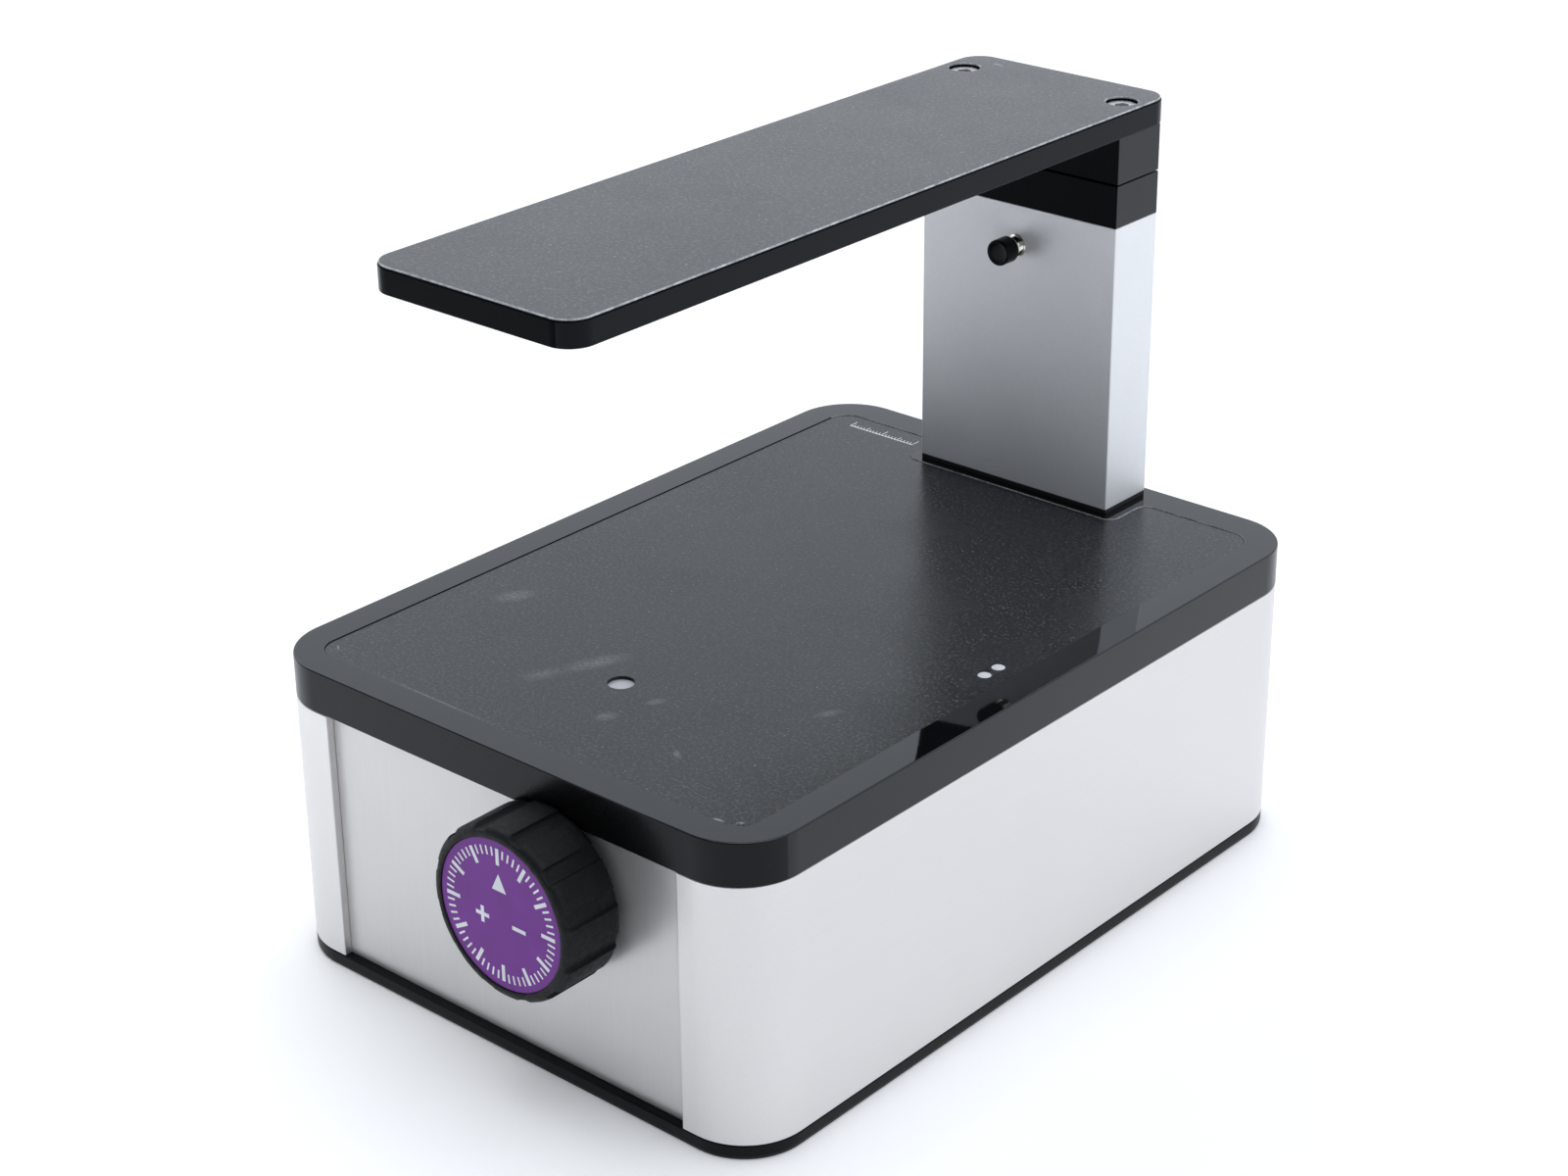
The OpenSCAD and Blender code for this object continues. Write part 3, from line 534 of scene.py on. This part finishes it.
def moved_in(loop, distance):
    """The outline moved to its left by a distance, corner by corner."""
    out = []
    for i, (x, y) in enumerate(loop):
        here = Vector((x, y))
        a = (here - Vector(loop[i - 1])).normalized()
        b = (Vector(loop[(i + 1) % len(loop)]) - here).normalized()
        na, nb = Vector((-a.y, a.x)), Vector((-b.y, b.x))
        shift = (na + nb) / (1 + na.dot(nb)) * distance
        out.append((x + shift.x, y + shift.y))
    return out


def skin(bm, rings):
    """Faces from each ring of vertices to the next. A ring of one vertex is a point."""
    for a, b in zip(rings, rings[1:]):
        count = max(len(a), len(b))
        for k in range(count):
            n = (k + 1) % count
            corners = (a[k % len(a)], a[n % len(a)], b[n % len(b)], b[k % len(b)])
            bm.faces.new(list(dict.fromkeys(corners)))


def wall_rings(bm, loop, low, high, low_r, high_r, steps):
    """Rings of vertices up a wall on an outline, moved in where its two edges are rounded."""
    arc = [math.pi / 2 * k / steps for k in range(steps + 1)]
    heights = [(0, low)]
    if low_r:
        heights = [(low_r * (1 - math.sin(a)), low + low_r * (1 - math.cos(a))) for a in arc]
    heights += [(high_r * (1 - math.sin(a)), high - high_r * (1 - math.cos(a))) for a in reversed(arc)]
    return [[bm.verts.new((x, y, z)) for x, y in moved_in(loop, inset)] for inset, z in heights]


def slab(name, outer, z0, z1, holes=(), edge=0.3, steps=3, hole_edge=None, turn=None, pocket=None):
    """A plate with this outline from z0 to z1, with holes through it and every edge rounded.

    `pocket` is an outline and a floor height: the plate is cut down to the floor inside it, and the holes
    start there.
    """
    bm = bmesh.new()
    bottom, top, floor = [], [], []
    small = hole_edge or edge
    hole_z, hole_rim = (z1, top) if pocket is None else (pocket[1], floor)
    walls = [(outer, 1, z0, z1, edge, edge, bottom, top)]
    walls += [(hole, -1, z0, hole_z, small, small, bottom, hole_rim) for hole in holes]
    if pocket is not None:
        walls.append((pocket[0], -1, hole_z, z1, 0, small, floor, top))
    for loop, sense, low, high, low_r, high_r, low_rim, high_rim in walls:
        if area(loop) * sense < 0:
            loop = loop[::-1]
        rings = wall_rings(bm, loop, low, high, low_r, high_r, steps)
        skin(bm, rings)
        for rim, verts in ((low_rim, rings[0]), (high_rim, rings[-1])):
            rim += [bm.edges.get((verts[k - 1], verts[k])) for k in range(len(verts))]
    for rim in (bottom, top, floor):
        if rim:
            bmesh.ops.triangle_fill(bm, edges=rim, use_beauty=True, use_dissolve=False)
    return publish(name, bm, turn)


def lathe(name, profile, turn=None, count=64):
    """A body turned about Z from (radius, height) points. A point with radius 0 closes it at that end."""
    bm = bmesh.new()
    rings = []
    for r, z in profile:
        places = [(r * c, r * s, z) for c, s in turns(count)] if r else [(0, 0, z)]
        rings.append([bm.verts.new(place) for place in places])
    if profile[0][0] and profile[-1][0]:
        rings.append(rings[0])
    skin(bm, rings)
    return publish(name, bm, turn, 35)


def join(name, parts):
    """Several built objects as one, keeping their materials."""
    bpy.ops.object.select_all(action="DESELECT")
    for part in parts:
        part.select_set(True)
    bpy.context.view_layer.objects.active = parts[0]
    bpy.ops.object.join()
    parts[0].name = name
    parts[0].data.name = name
    return parts[0]


def paint(obj, slot_name):
    obj.data.materials.clear()
    obj.data.materials.append(PAINTS[slot_name].material)
    return obj


def repaint(obj, slot_name, chosen):
    """Gives the faces for which chosen(normal, centre in mm) is true another material."""
    obj.data.materials.append(PAINTS[slot_name].material)
    for face in obj.data.polygons:
        if chosen(face.normal, face.center / MM):
            face.material_index = len(obj.data.materials) - 1
    return obj


def stands_for(obj, node):
    """The detailed piece takes the CAD node's place, finish and body."""
    if not obj.data.materials:
        paint(obj, NODE_SLOT[node])
    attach(obj, NODE_BODY[node])
    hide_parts(node)
    return obj


def facing_front(x, y, z):
    """Turns a shape built along +Z so that it points to -Y, with its zero height at (x, y, z)."""
    return Matrix.Translation((x, y, z)) @ Matrix.Rotation(math.radians(90), 4, "X")


# ---------------------------------------------------------------- base


def build_base():
    low, high = size("base_plate")
    plate = rectangle(low.x, low.y, high.x, high.y, CORNER_R)
    stands_for(slab("base_plate_sheet", plate, low.z, high.z, edge=0.5), "base_plate")
    low, high = size("foot_mat")
    outline = rectangle(low.x, low.y, high.x, high.y, CORNER_R - MAT_INSET)
    stands_for(slab("foot_mat_rubber", outline, low.z, high.z, edge=0.2), "foot_mat")
    for node, side in (("left_shell", -1), ("right_shell", 1)):
        low, high = size(node)
        out_x = side * max(abs(low.x), abs(high.x))
        lip_x = side * min(abs(low.x), abs(high.x))
        in_x = out_x - side * WALL
        outline = filleted([
            (lip_x, low.y, 0.35),
            (out_x, low.y, CORNER_R),
            (out_x, high.y, CORNER_R),
            (lip_x, high.y, 0.35),
            (lip_x, high.y - WALL, 0.25),
            (in_x, high.y - WALL, CORNER_R - WALL),
            (in_x, low.y + WALL, CORNER_R - WALL),
            (lip_x, low.y + WALL, 0.25),
        ])
        stands_for(slab(node + "_metal", outline, low.z, high.z, edge=0.18), node)


def build_panels():
    """The recessed end panels, built lying down with their height along Y and stood up."""
    bush_low, bush_high = size("focus_bush")
    bush_x, bush_z = (bush_low.x + bush_high.x) / 2, (bush_low.z + bush_high.z) / 2
    socket_low, socket_high = size("charge_socket")
    slot_edges = (socket_low.x, socket_low.z, socket_high.x, socket_high.z)
    cuts = {"front_panel": ring(bush_x, bush_z, BUSH_HOLE_R), "rear_panel": rectangle(*slot_edges, 0.2)}
    for node, cut in cuts.items():
        low, high = size(node)
        outline = rectangle(low.x, low.z, high.x, high.z, 0.2)
        turn = Matrix.Rotation(math.radians(90), 4, "X")
        made = slab(node + "_sheet", outline, -high.y, -low.y, holes=[cut], edge=0.15, turn=turn)
        stands_for(made, node)


def build_deck():
    low, high = size("deck")
    window_low, window_high = size("port_window")
    port = ((window_low.x + window_high.x) / 2, (window_low.y + window_high.y) / 2)
    lights_low, lights_high = size("status_lights")
    light_x = (lights_low.x + lights_high.x) / 2
    lights = [(light_x, y) for y in (lights_low.y + LIGHT_R, lights_high.y - LIGHT_R)]
    holes = [ring(*port, PORT_R)] + [ring(*p, LIGHT_R + 0.02, 32) for p in lights]
    film_low, film_high = size("stage_film")

    def film_outline(inset):
        """The film's pocket, notched round the post's foot, with its edge moved in."""
        step = FILM_GAP - inset
        x0, y0, x1, y1 = film_low.x - step, film_low.y - step, film_high.x + step, film_high.y + step
        gasket_low, gasket_high = size("post_gasket")
        notch_x = (gasket_high.x - gasket_low.x) / 2 + NOTCH_SIDE + inset
        notch_y = gasket_low.y - NOTCH_FRONT - inset
        out_r, foot_r, mouth_r = POCKET_R - inset, NOTCH_R + inset, NOTCH_R - inset
        return filleted([
            (x0, y0, out_r),
            (x1, y0, out_r),
            (x1, y1, out_r),
            (notch_x, y1, mouth_r),
            (notch_x, notch_y, foot_r),
            (-notch_x, notch_y, foot_r),
            (-notch_x, y1, mouth_r),
            (x0, y1, out_r),
        ])

    pocket = (film_outline(0), high.z - POCKET_DEPTH)

    def wear_and_highlight(normal, centre):
        """The pocket's wall at its back edge and round the notch, where a bright line is painted as a
        highlight.
        """
        in_wall = centre.z > pocket[1] + 0.01 and abs(normal.z) < 0.9
        at_back = 72 < centre.y < film_high.y + 0.4 and abs(centre.x) < film_high.x + 0.4
        return in_wall and at_back and (normal.y < -0.1 or abs(centre.x) < 34)

    outline = rectangle(low.x, low.y, high.x, high.y, CORNER_R)
    deck = slab("deck_sheet", outline, low.z, high.z, holes=holes, edge=0.35, hole_edge=0.1, pocket=pocket)
    paint(deck, "black_sheet")
    repaint(deck, "sheet_edge", lambda n, c: abs(n.z) < 0.5)
    # painted shade: the deck's front faces get a darker, duller black
    repaint(deck, "sheet_front", lambda n, c: abs(n.z) < 0.5 and n.y < -0.2 and c.y < low.y + CORNER_R)
    # painted highlight: a pale line on the pocket's back wall and round the notch
    repaint(deck, "wear_and_highlight_edge", wear_and_highlight)
    stands_for(deck, "deck")

    sheet = film_outline(FILM_GAP)
    film_sheet = slab("stage_film_sheet", sheet, film_low.z, film_high.z, holes=holes, edge=0.08, steps=2)
    stands_for(film_sheet, "stage_film")

    r = (window_high.x - window_low.x) / 2
    centre = Matrix.Translation((*port, window_low.z))
    disc = [(0, 0), (r, 0), (r, 0.7), (r - 0.3, 1.0), (2.8, 1.0), (1.4, 1.0), (0, 1.0)]
    stands_for(lathe("port_window_glass", disc, centre), "port_window")

    length = film_high.z - lights_low.z
    r = LIGHT_R - 0.02
    pipe = [(0, 0), (r, 0), (r, length - 0.12), (r - 0.12, length - 0.03), (0.7, length), (0, length)]
    pipes = [lathe("pipe", pipe, Matrix.Translation((*p, lights_low.z)), 32) for p in lights]
    stands_for(join("status_light_pipes", pipes), "status_lights")


# ---------------------------------------------------------------- post and arm


def build_post():
    """The post, the gasket under it and the two swivel blocks; the blocks' sides get a lighter, shinier
    copy of their black, which paints light on them.
    """
    for node, edge, corner in (
            ("post_gasket", 0.15, 0.5),
            ("post", 0.22, 0.3),
            ("swivel_base", 0.18, 0.25),
            ("swivel_head", 0.18, 0.25)):
        low, high = size(node)
        outline = rectangle(low.x, low.y, high.x, high.y, corner)
        block = paint(slab(node + "_block", outline, low.z, high.z, edge=edge), NODE_SLOT[node])
        if node.startswith("swivel"):
            # painted light: the blocks' sides get the lighter, shinier copy of the black
            repaint(block, "lit_block_side", lambda n, c: abs(n.x) > 0.7)
        stands_for(block, node)


def build_button():
    """The button's dished cap and the threaded bush behind it, both turned about an axis along Y."""
    low, high = size("button_cap")
    z, r = (low.z + high.z) / 2, (high.z - low.z) / 2
    length = high.y - low.y
    hold = length - PLUNGER_HOLD
    cap = [
        # the plunger's hole
        (0, hold), (PLUNGER_BORE_R, hold), (PLUNGER_BORE_R, 0.05),
        # the skirt
        (r - 0.15, 0), (r, 0.12), (r, length - 0.45), (r - 0.06, length - 0.2), (r - 0.22, length - 0.05),
        # the rim and the dish
        (r - 0.42, length), (r - 0.6, length - 0.04), (r - 0.85, length - 0.14), (r - 1.4, length - 0.24),
        (0.9, length - 0.29), (0, length - 0.3),
    ]
    stands_for(lathe("button_cap_moulding", cap, facing_front(0, high.y, z)), "button_cap")

    low, high = size("switch_bush")
    rim_r = (high.z - low.z) / 2
    r = rim_r - BUSH_RIM_OUT
    length = high.y - low.y
    face = high.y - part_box("post")[0].y / MM
    start = face + BUSH_RIM_T
    profile = [
        # the smooth part behind the post's face
        (BUSH_BORE_R, 0), (r, 0), (r, face),
        # the rim
        (rim_r - 0.1, face), (rim_r, face + 0.1), (rim_r, start - 0.12), (rim_r - 0.12, start), (r, start),
    ]
    for k in range(int((length - start) / THREAD_PITCH)):
        foot = start + k * THREAD_PITCH
        profile += [(r - THREAD_DEPTH, foot + 0.06), (r, foot + 0.21), (r - THREAD_DEPTH, foot + 0.36)]
    profile += [(r - 0.3, length), (BUSH_BORE_R, length)]
    stands_for(lathe("switch_bush_thread", profile, facing_front(0, high.y, z)), "switch_bush")


def build_spring():
    """The button's return spring, built at rest with a mesh of its own; the real spring shortens by the
    button's travel as it is pressed.
    """
    low, high = size("return_spring")
    middle = (low + high) / 2
    coil_r = (high.z - low.z) / 2 - SPRING_WIRE_R
    first, last = low.y + SPRING_WIRE_R, high.y - SPRING_WIRE_R
    along = Vector((0, 1, 0))
    per_turn = 24
    steps = SPRING_TURNS * per_turn
    bm = bmesh.new()
    rings = []
    for i in range(steps + 1):
        a = 2 * math.pi * i / per_turn
        out = Vector((math.cos(a), 0, math.sin(a)))
        centre = Vector((middle.x, first + (last - first) * i / steps, middle.z)) + coil_r * out
        rings.append([bm.verts.new(centre + SPRING_WIRE_R * (c * out + s * along)) for c, s in turns(10)])
    skin(bm, rings)
    bm.faces.new(rings[0])
    bm.faces.new(rings[-1])
    spring = stands_for(publish("return_spring_wire", bm), "return_spring")
    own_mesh(spring)


def build_arm():
    """The arm's plate, the film on it and the two cap screws in their counterbores."""
    low, high = size("arm_plate")
    film_low, film_high = size("arm_film")
    screws_low, screws_high = size("arm_screws")
    y = (screws_low.y + screws_high.y) / 2
    places = [(screws_low.x + HEAD_R, y), (screws_high.x - HEAD_R, y)]
    lamp_low, lamp_high = size("lamp_bezel")
    lamp = ((lamp_low.x + lamp_high.x) / 2, (lamp_low.y + lamp_high.y) / 2)
    lamp_r = (lamp_high.x - lamp_low.x) / 2
    wells = [ring(*p, COUNTERBORE_R) for p in places]
    head_top = screws_high.z
    well_floor = head_top - HEAD_H
    lap = 0.05

    outline = rectangle(low.x, low.y, high.x, high.y, ARM_R)
    openings = wells + [ring(*lamp, lamp_r)]
    layers = [
        slab("layer", outline, low.z, high.z, holes=openings, edge=0.3, hole_edge=0.12),
        slab("layer", ring(*lamp, lamp_r + lap), low.z + LAMP_SEAT_H, high.z - 0.4, edge=0.05),
    ]
    for p in places:
        layers.append(slab("layer", ring(*p, COUNTERBORE_R + lap), low.z + 0.35, well_floor, edge=0.05))
    plate = paint(join("arm_plate_sheet", layers), "black_block")

    def lit_long_side(normal, centre):
        """The plate's two long sides and its round corners, which get a lighter, shinier black that paints
        light on them.
        """
        on_side = abs(centre.x) > high.x - 0.4
        at_corner = abs(centre.x) > high.x - ARM_R and abs(centre.y) > high.y - ARM_R
        return abs(normal.z) < 0.6 and abs(normal.x) > 0.3 and (on_side or at_corner)

    # painted light on the plate's long sides and round corners
    repaint(plate, "arm_edge", lit_long_side)
    stands_for(plate, "arm_plate")

    corner = ARM_R - (film_low.x - low.x)
    outline = rectangle(film_low.x, film_low.y, film_high.x, film_high.y, corner)
    top = slab("arm_film_sheet", outline, film_low.z, film_high.z, holes=wells, edge=0.12, steps=2)
    paint(top, "arm_matte")
    repaint(top, "wear_and_highlight_edge", lambda n, c: abs(n.z) < 0.95 and abs(c.z - film_high.z) < 0.3)
    stands_for(top, "arm_film")

    socket_floor = head_top - SOCKET_DEPTH
    heads = []
    for p in places:
        socket = ring(*p, SOCKET_R, 6)
        heads.append(slab("head", ring(*p, HEAD_R), socket_floor, head_top, holes=[socket], hole_edge=0.12))
        heads.append(slab("seat", ring(*p, HEAD_R - 0.1), well_floor, socket_floor + 0.02, edge=0.05))
        heads.append(slab("shank", ring(*p, SHANK_R), screws_low.z, well_floor + 0.01, edge=0.2))
    stands_for(paint(join("arm_screw_heads", heads), "screw_steel"), "arm_screws")


# ---------------------------------------------------------------- focus knob


def groove_share(angle, r):
    """1 on a groove's floor and 0 on the pads, with steep rounded sides; angle in degrees from a groove."""
    half = math.degrees(math.asin(GROOVE_HALF / r))
    t = min(1.0, max(0.0, (half + 0.45 - abs(angle)) / 1.1))
    return t * t * (3 - 2 * t)


def build_knob():
    """The grooved grip and the printed label in its face."""
    low, high = size("focus_knob")
    r = (high.x - low.x) / 2
    length = high.y - low.y
    label_low, label_high = size("knob_label")
    label_r = (label_high.x - label_low.x) / 2
    seat = length - (label_high.y - low.y)
    x, z = (low.x + high.x) / 2, (low.z + high.z) / 2
    profile = [
        # the label's recess
        (0, seat), (label_r + 0.05, seat), (label_r + 0.05, length - 0.12), (label_r + 0.17, length),
        # the front edge
        (r - 1.75, length), (r - 1.2, length - 0.12), (r - 0.7, length - 0.4), (r - 0.3, length - 0.85),
        (r - 0.08, length - 1.4), (r, length - 2.0),
        # the grip and the back edge
        (r, length * 0.66), (r, length * 0.33), (r, 1.4), (r - 0.12, 0.7), (r - 0.45, 0.22), (r - 1.0, 0),
        # the shaft's hole
        (SHAFT_HOLE_R, 0), (SHAFT_HOLE_R, SHAFT_HOLE_DEPTH), (0, SHAFT_HOLE_DEPTH),
    ]
    pitch = 360 / KNOB_GROOVES
    offsets = [0, 2.0, 4.2, 4.9, 5.3, 5.7, 6.4, 8.5, 11.5, 14.0]
    period = sorted({-o for o in offsets} | set(offsets))
    columns = [(math.radians(pitch * (k + 0.5) + o), GROOVE_DEPTH * groove_share(o, r))
               for k in range(KNOB_GROOVES) for o in period]
    bm = bmesh.new()
    rings = []
    for level_r, level in profile:
        if level_r == 0:
            rings.append([bm.verts.new((0, 0, level))])
            continue
        made = []
        for a, depth in columns:
            radius = min(level_r, r - depth)
            made.append(bm.verts.new((radius * math.cos(a), radius * math.sin(a), level)))
        rings.append(made)
    skin(bm, rings)
    stands_for(publish("focus_knob_grip", bm, facing_front(x, high.y, z), 50), "focus_knob")

    thick = label_high.y - label_low.y
    r = label_r - 0.03
    disc = [(0, 0), (r, 0), (r, thick - 0.06), (r - 0.09, thick), (8, thick), (0, thick)]
    face = facing_front(x, label_high.y, z)
    stands_for(lathe("knob_label_disc", disc, face, 96), "knob_label")
    marks = paint(knob_marks(face, thick), "label_white")
    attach(marks, NODE_BODY["knob_label"])


def knob_marks(face, height):
    """Generic printed scale: ticks all round, a pointer, and a plus and a minus."""

    def bar(angle, r0, r1, width):
        """A bar from radius r0 to radius r1 in the direction of the angle."""
        a = math.radians(angle)
        out = Vector((math.cos(a), math.sin(a)))
        half = Vector((-out.y, out.x)) * width / 2
        return [tuple(c) for c in (out * r0 - half, out * r1 - half, out * r1 + half, out * r0 + half)]

    def shift(outline, x, y):
        return [(a + x, b + y) for a, b in outline]

    stroke, reach = 0.45, 1.9
    shapes = []
    for k in range(TICKS):
        major = k % 5 == 0
        shapes.append(bar(360 / TICKS * k, 11.6 if major else 13.4, 15.4, 0.9 if major else 0.45))
    shapes.append([(-2.0, 5.6), (2.0, 5.6), (0, 9.6)])
    shapes.append(shift(bar(0, -reach, reach, 2 * stroke), 5.2, -1.5))
    quarter = [(stroke, stroke), (stroke, reach), (-stroke, reach)]
    plus = []
    for _ in range(4):
        plus += quarter
        quarter = [(-b, a) for a, b in quarter]
    shapes.append(shift(plus, -5.2, -1.5))
    parts = [slab("mark", s, height - 0.02, height + 0.04, edge=0.015, steps=1, turn=face) for s in shapes]
    return join("knob_scale_marks", parts)


def build_stage_scale():
    """A generic printed scale bar at the back of the stage film."""
    low, high = size("stage_film")
    x0, y0 = low.x + 7, high.y - 6
    length = 20
    shapes = [rectangle(x0, y0, x0 + length, y0 + 0.45, 0.05)]
    for k in range(length + 1):
        tall = 3.0 if k % 10 == 0 else 2.2 if k % 5 == 0 else 1.3
        shapes.append(rectangle(x0 + k - 0.12, y0 + 0.1, x0 + k + 0.12, y0 + tall, 0.03))
    parts = [slab("mark", s, high.z - 0.02, high.z + 0.03, edge=0.01, steps=1) for s in shapes]
    marks = paint(join("stage_scale_bar", parts), "label_white")
    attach(marks, NODE_BODY["stage_film"])


build_base()
build_panels()
build_deck()
build_post()
build_button()
build_spring()
build_arm()
build_knob()
build_stage_scale()

# ---------------------------------------------------------------- floor and light


# name, place, the point it faces, width in metres, power in watts, spread in degrees
LIGHTS = [
    ("top", (0.1, 0.0, 2.2), (0, 0, 0.0), 1.6, 12.0, 180),
    ("right", (1.5, 0.1, 1.2), (0, 0, 0.08), 1.0, 0.9, 180),
    ("left", (-1.5, 0.3, 1.2), (0, 0, 0.08), 1.2, 3.0, 180),
    ("floor front", (-0.36, -0.42, 0.75), (-0.36, -0.42, 0), 0.5, 0.55, 50),
]


def make_floor():
    """A plain pale floor that glows a little, so that the shadow on it stays soft."""
    p = Paint("floor", (0.93, 0.93, 0.94), 0.6)
    cloud = p.scaled(p.noise(60, 2), 0.3, 0.7, 0.0, 1.0)
    p.color(p.mix(cloud, (0.915, 0.92, 0.93), (0.935, 0.935, 0.945)))
    p.set("Emission Color", (0.97, 0.98, 1.0, 1.0))
    p.set("Emission Strength", 0.17)
    bm = bmesh.new()
    bmesh.ops.create_grid(bm, x_segments=1, y_segments=1, size=6.0)
    mesh = bpy.data.meshes.new("floor")
    bm.to_mesh(mesh)
    bm.free()
    mesh.materials.append(p.material)
    floor = bpy.data.objects.new("floor", mesh)
    bpy.context.scene.collection.objects.link(floor)


def make_world():
    """A white room whose open side is towards -Y: darker there, above the floor's edge."""
    world = bpy.data.worlds.new("studio")
    world.use_nodes = True
    nodes, links = world.node_tree.nodes, world.node_tree.links
    background = nodes["Background"]
    background.inputs["Color"].default_value = (0.905, 0.952, 1.02, 1.0)
    parts = nodes.new("ShaderNodeSeparateXYZ")
    links.new(nodes.new("ShaderNodeTexCoord").outputs["Generated"], parts.inputs[0])
    front = nodes.new("ShaderNodeMapRange")
    for key, value in (("From Min", -0.62), ("From Max", -0.05), ("To Min", 0.18), ("To Max", 1.10)):
        front.inputs[key].default_value = value
    links.new(parts.outputs["Y"], front.inputs["Value"])
    links.new(front.outputs["Result"], background.inputs["Strength"])
    bpy.context.scene.world = world


def make_lights():
    for name, place, aim, width, power, spread in LIGHTS:
        light = bpy.data.lights.new(name, "AREA")
        light.shape = "SQUARE"
        light.size = width
        light.energy = power
        light.spread = math.radians(spread)
        lamp = bpy.data.objects.new(name, light)
        lamp.location = place
        lamp.rotation_euler = (Vector(place) - Vector(aim)).to_track_quat("Z", "Y").to_euler()
        bpy.context.scene.collection.objects.link(lamp)


make_floor()
make_world()
make_lights()
bpy.context.scene.view_settings.view_transform = "Standard"
bpy.context.scene.view_settings.look = "None"
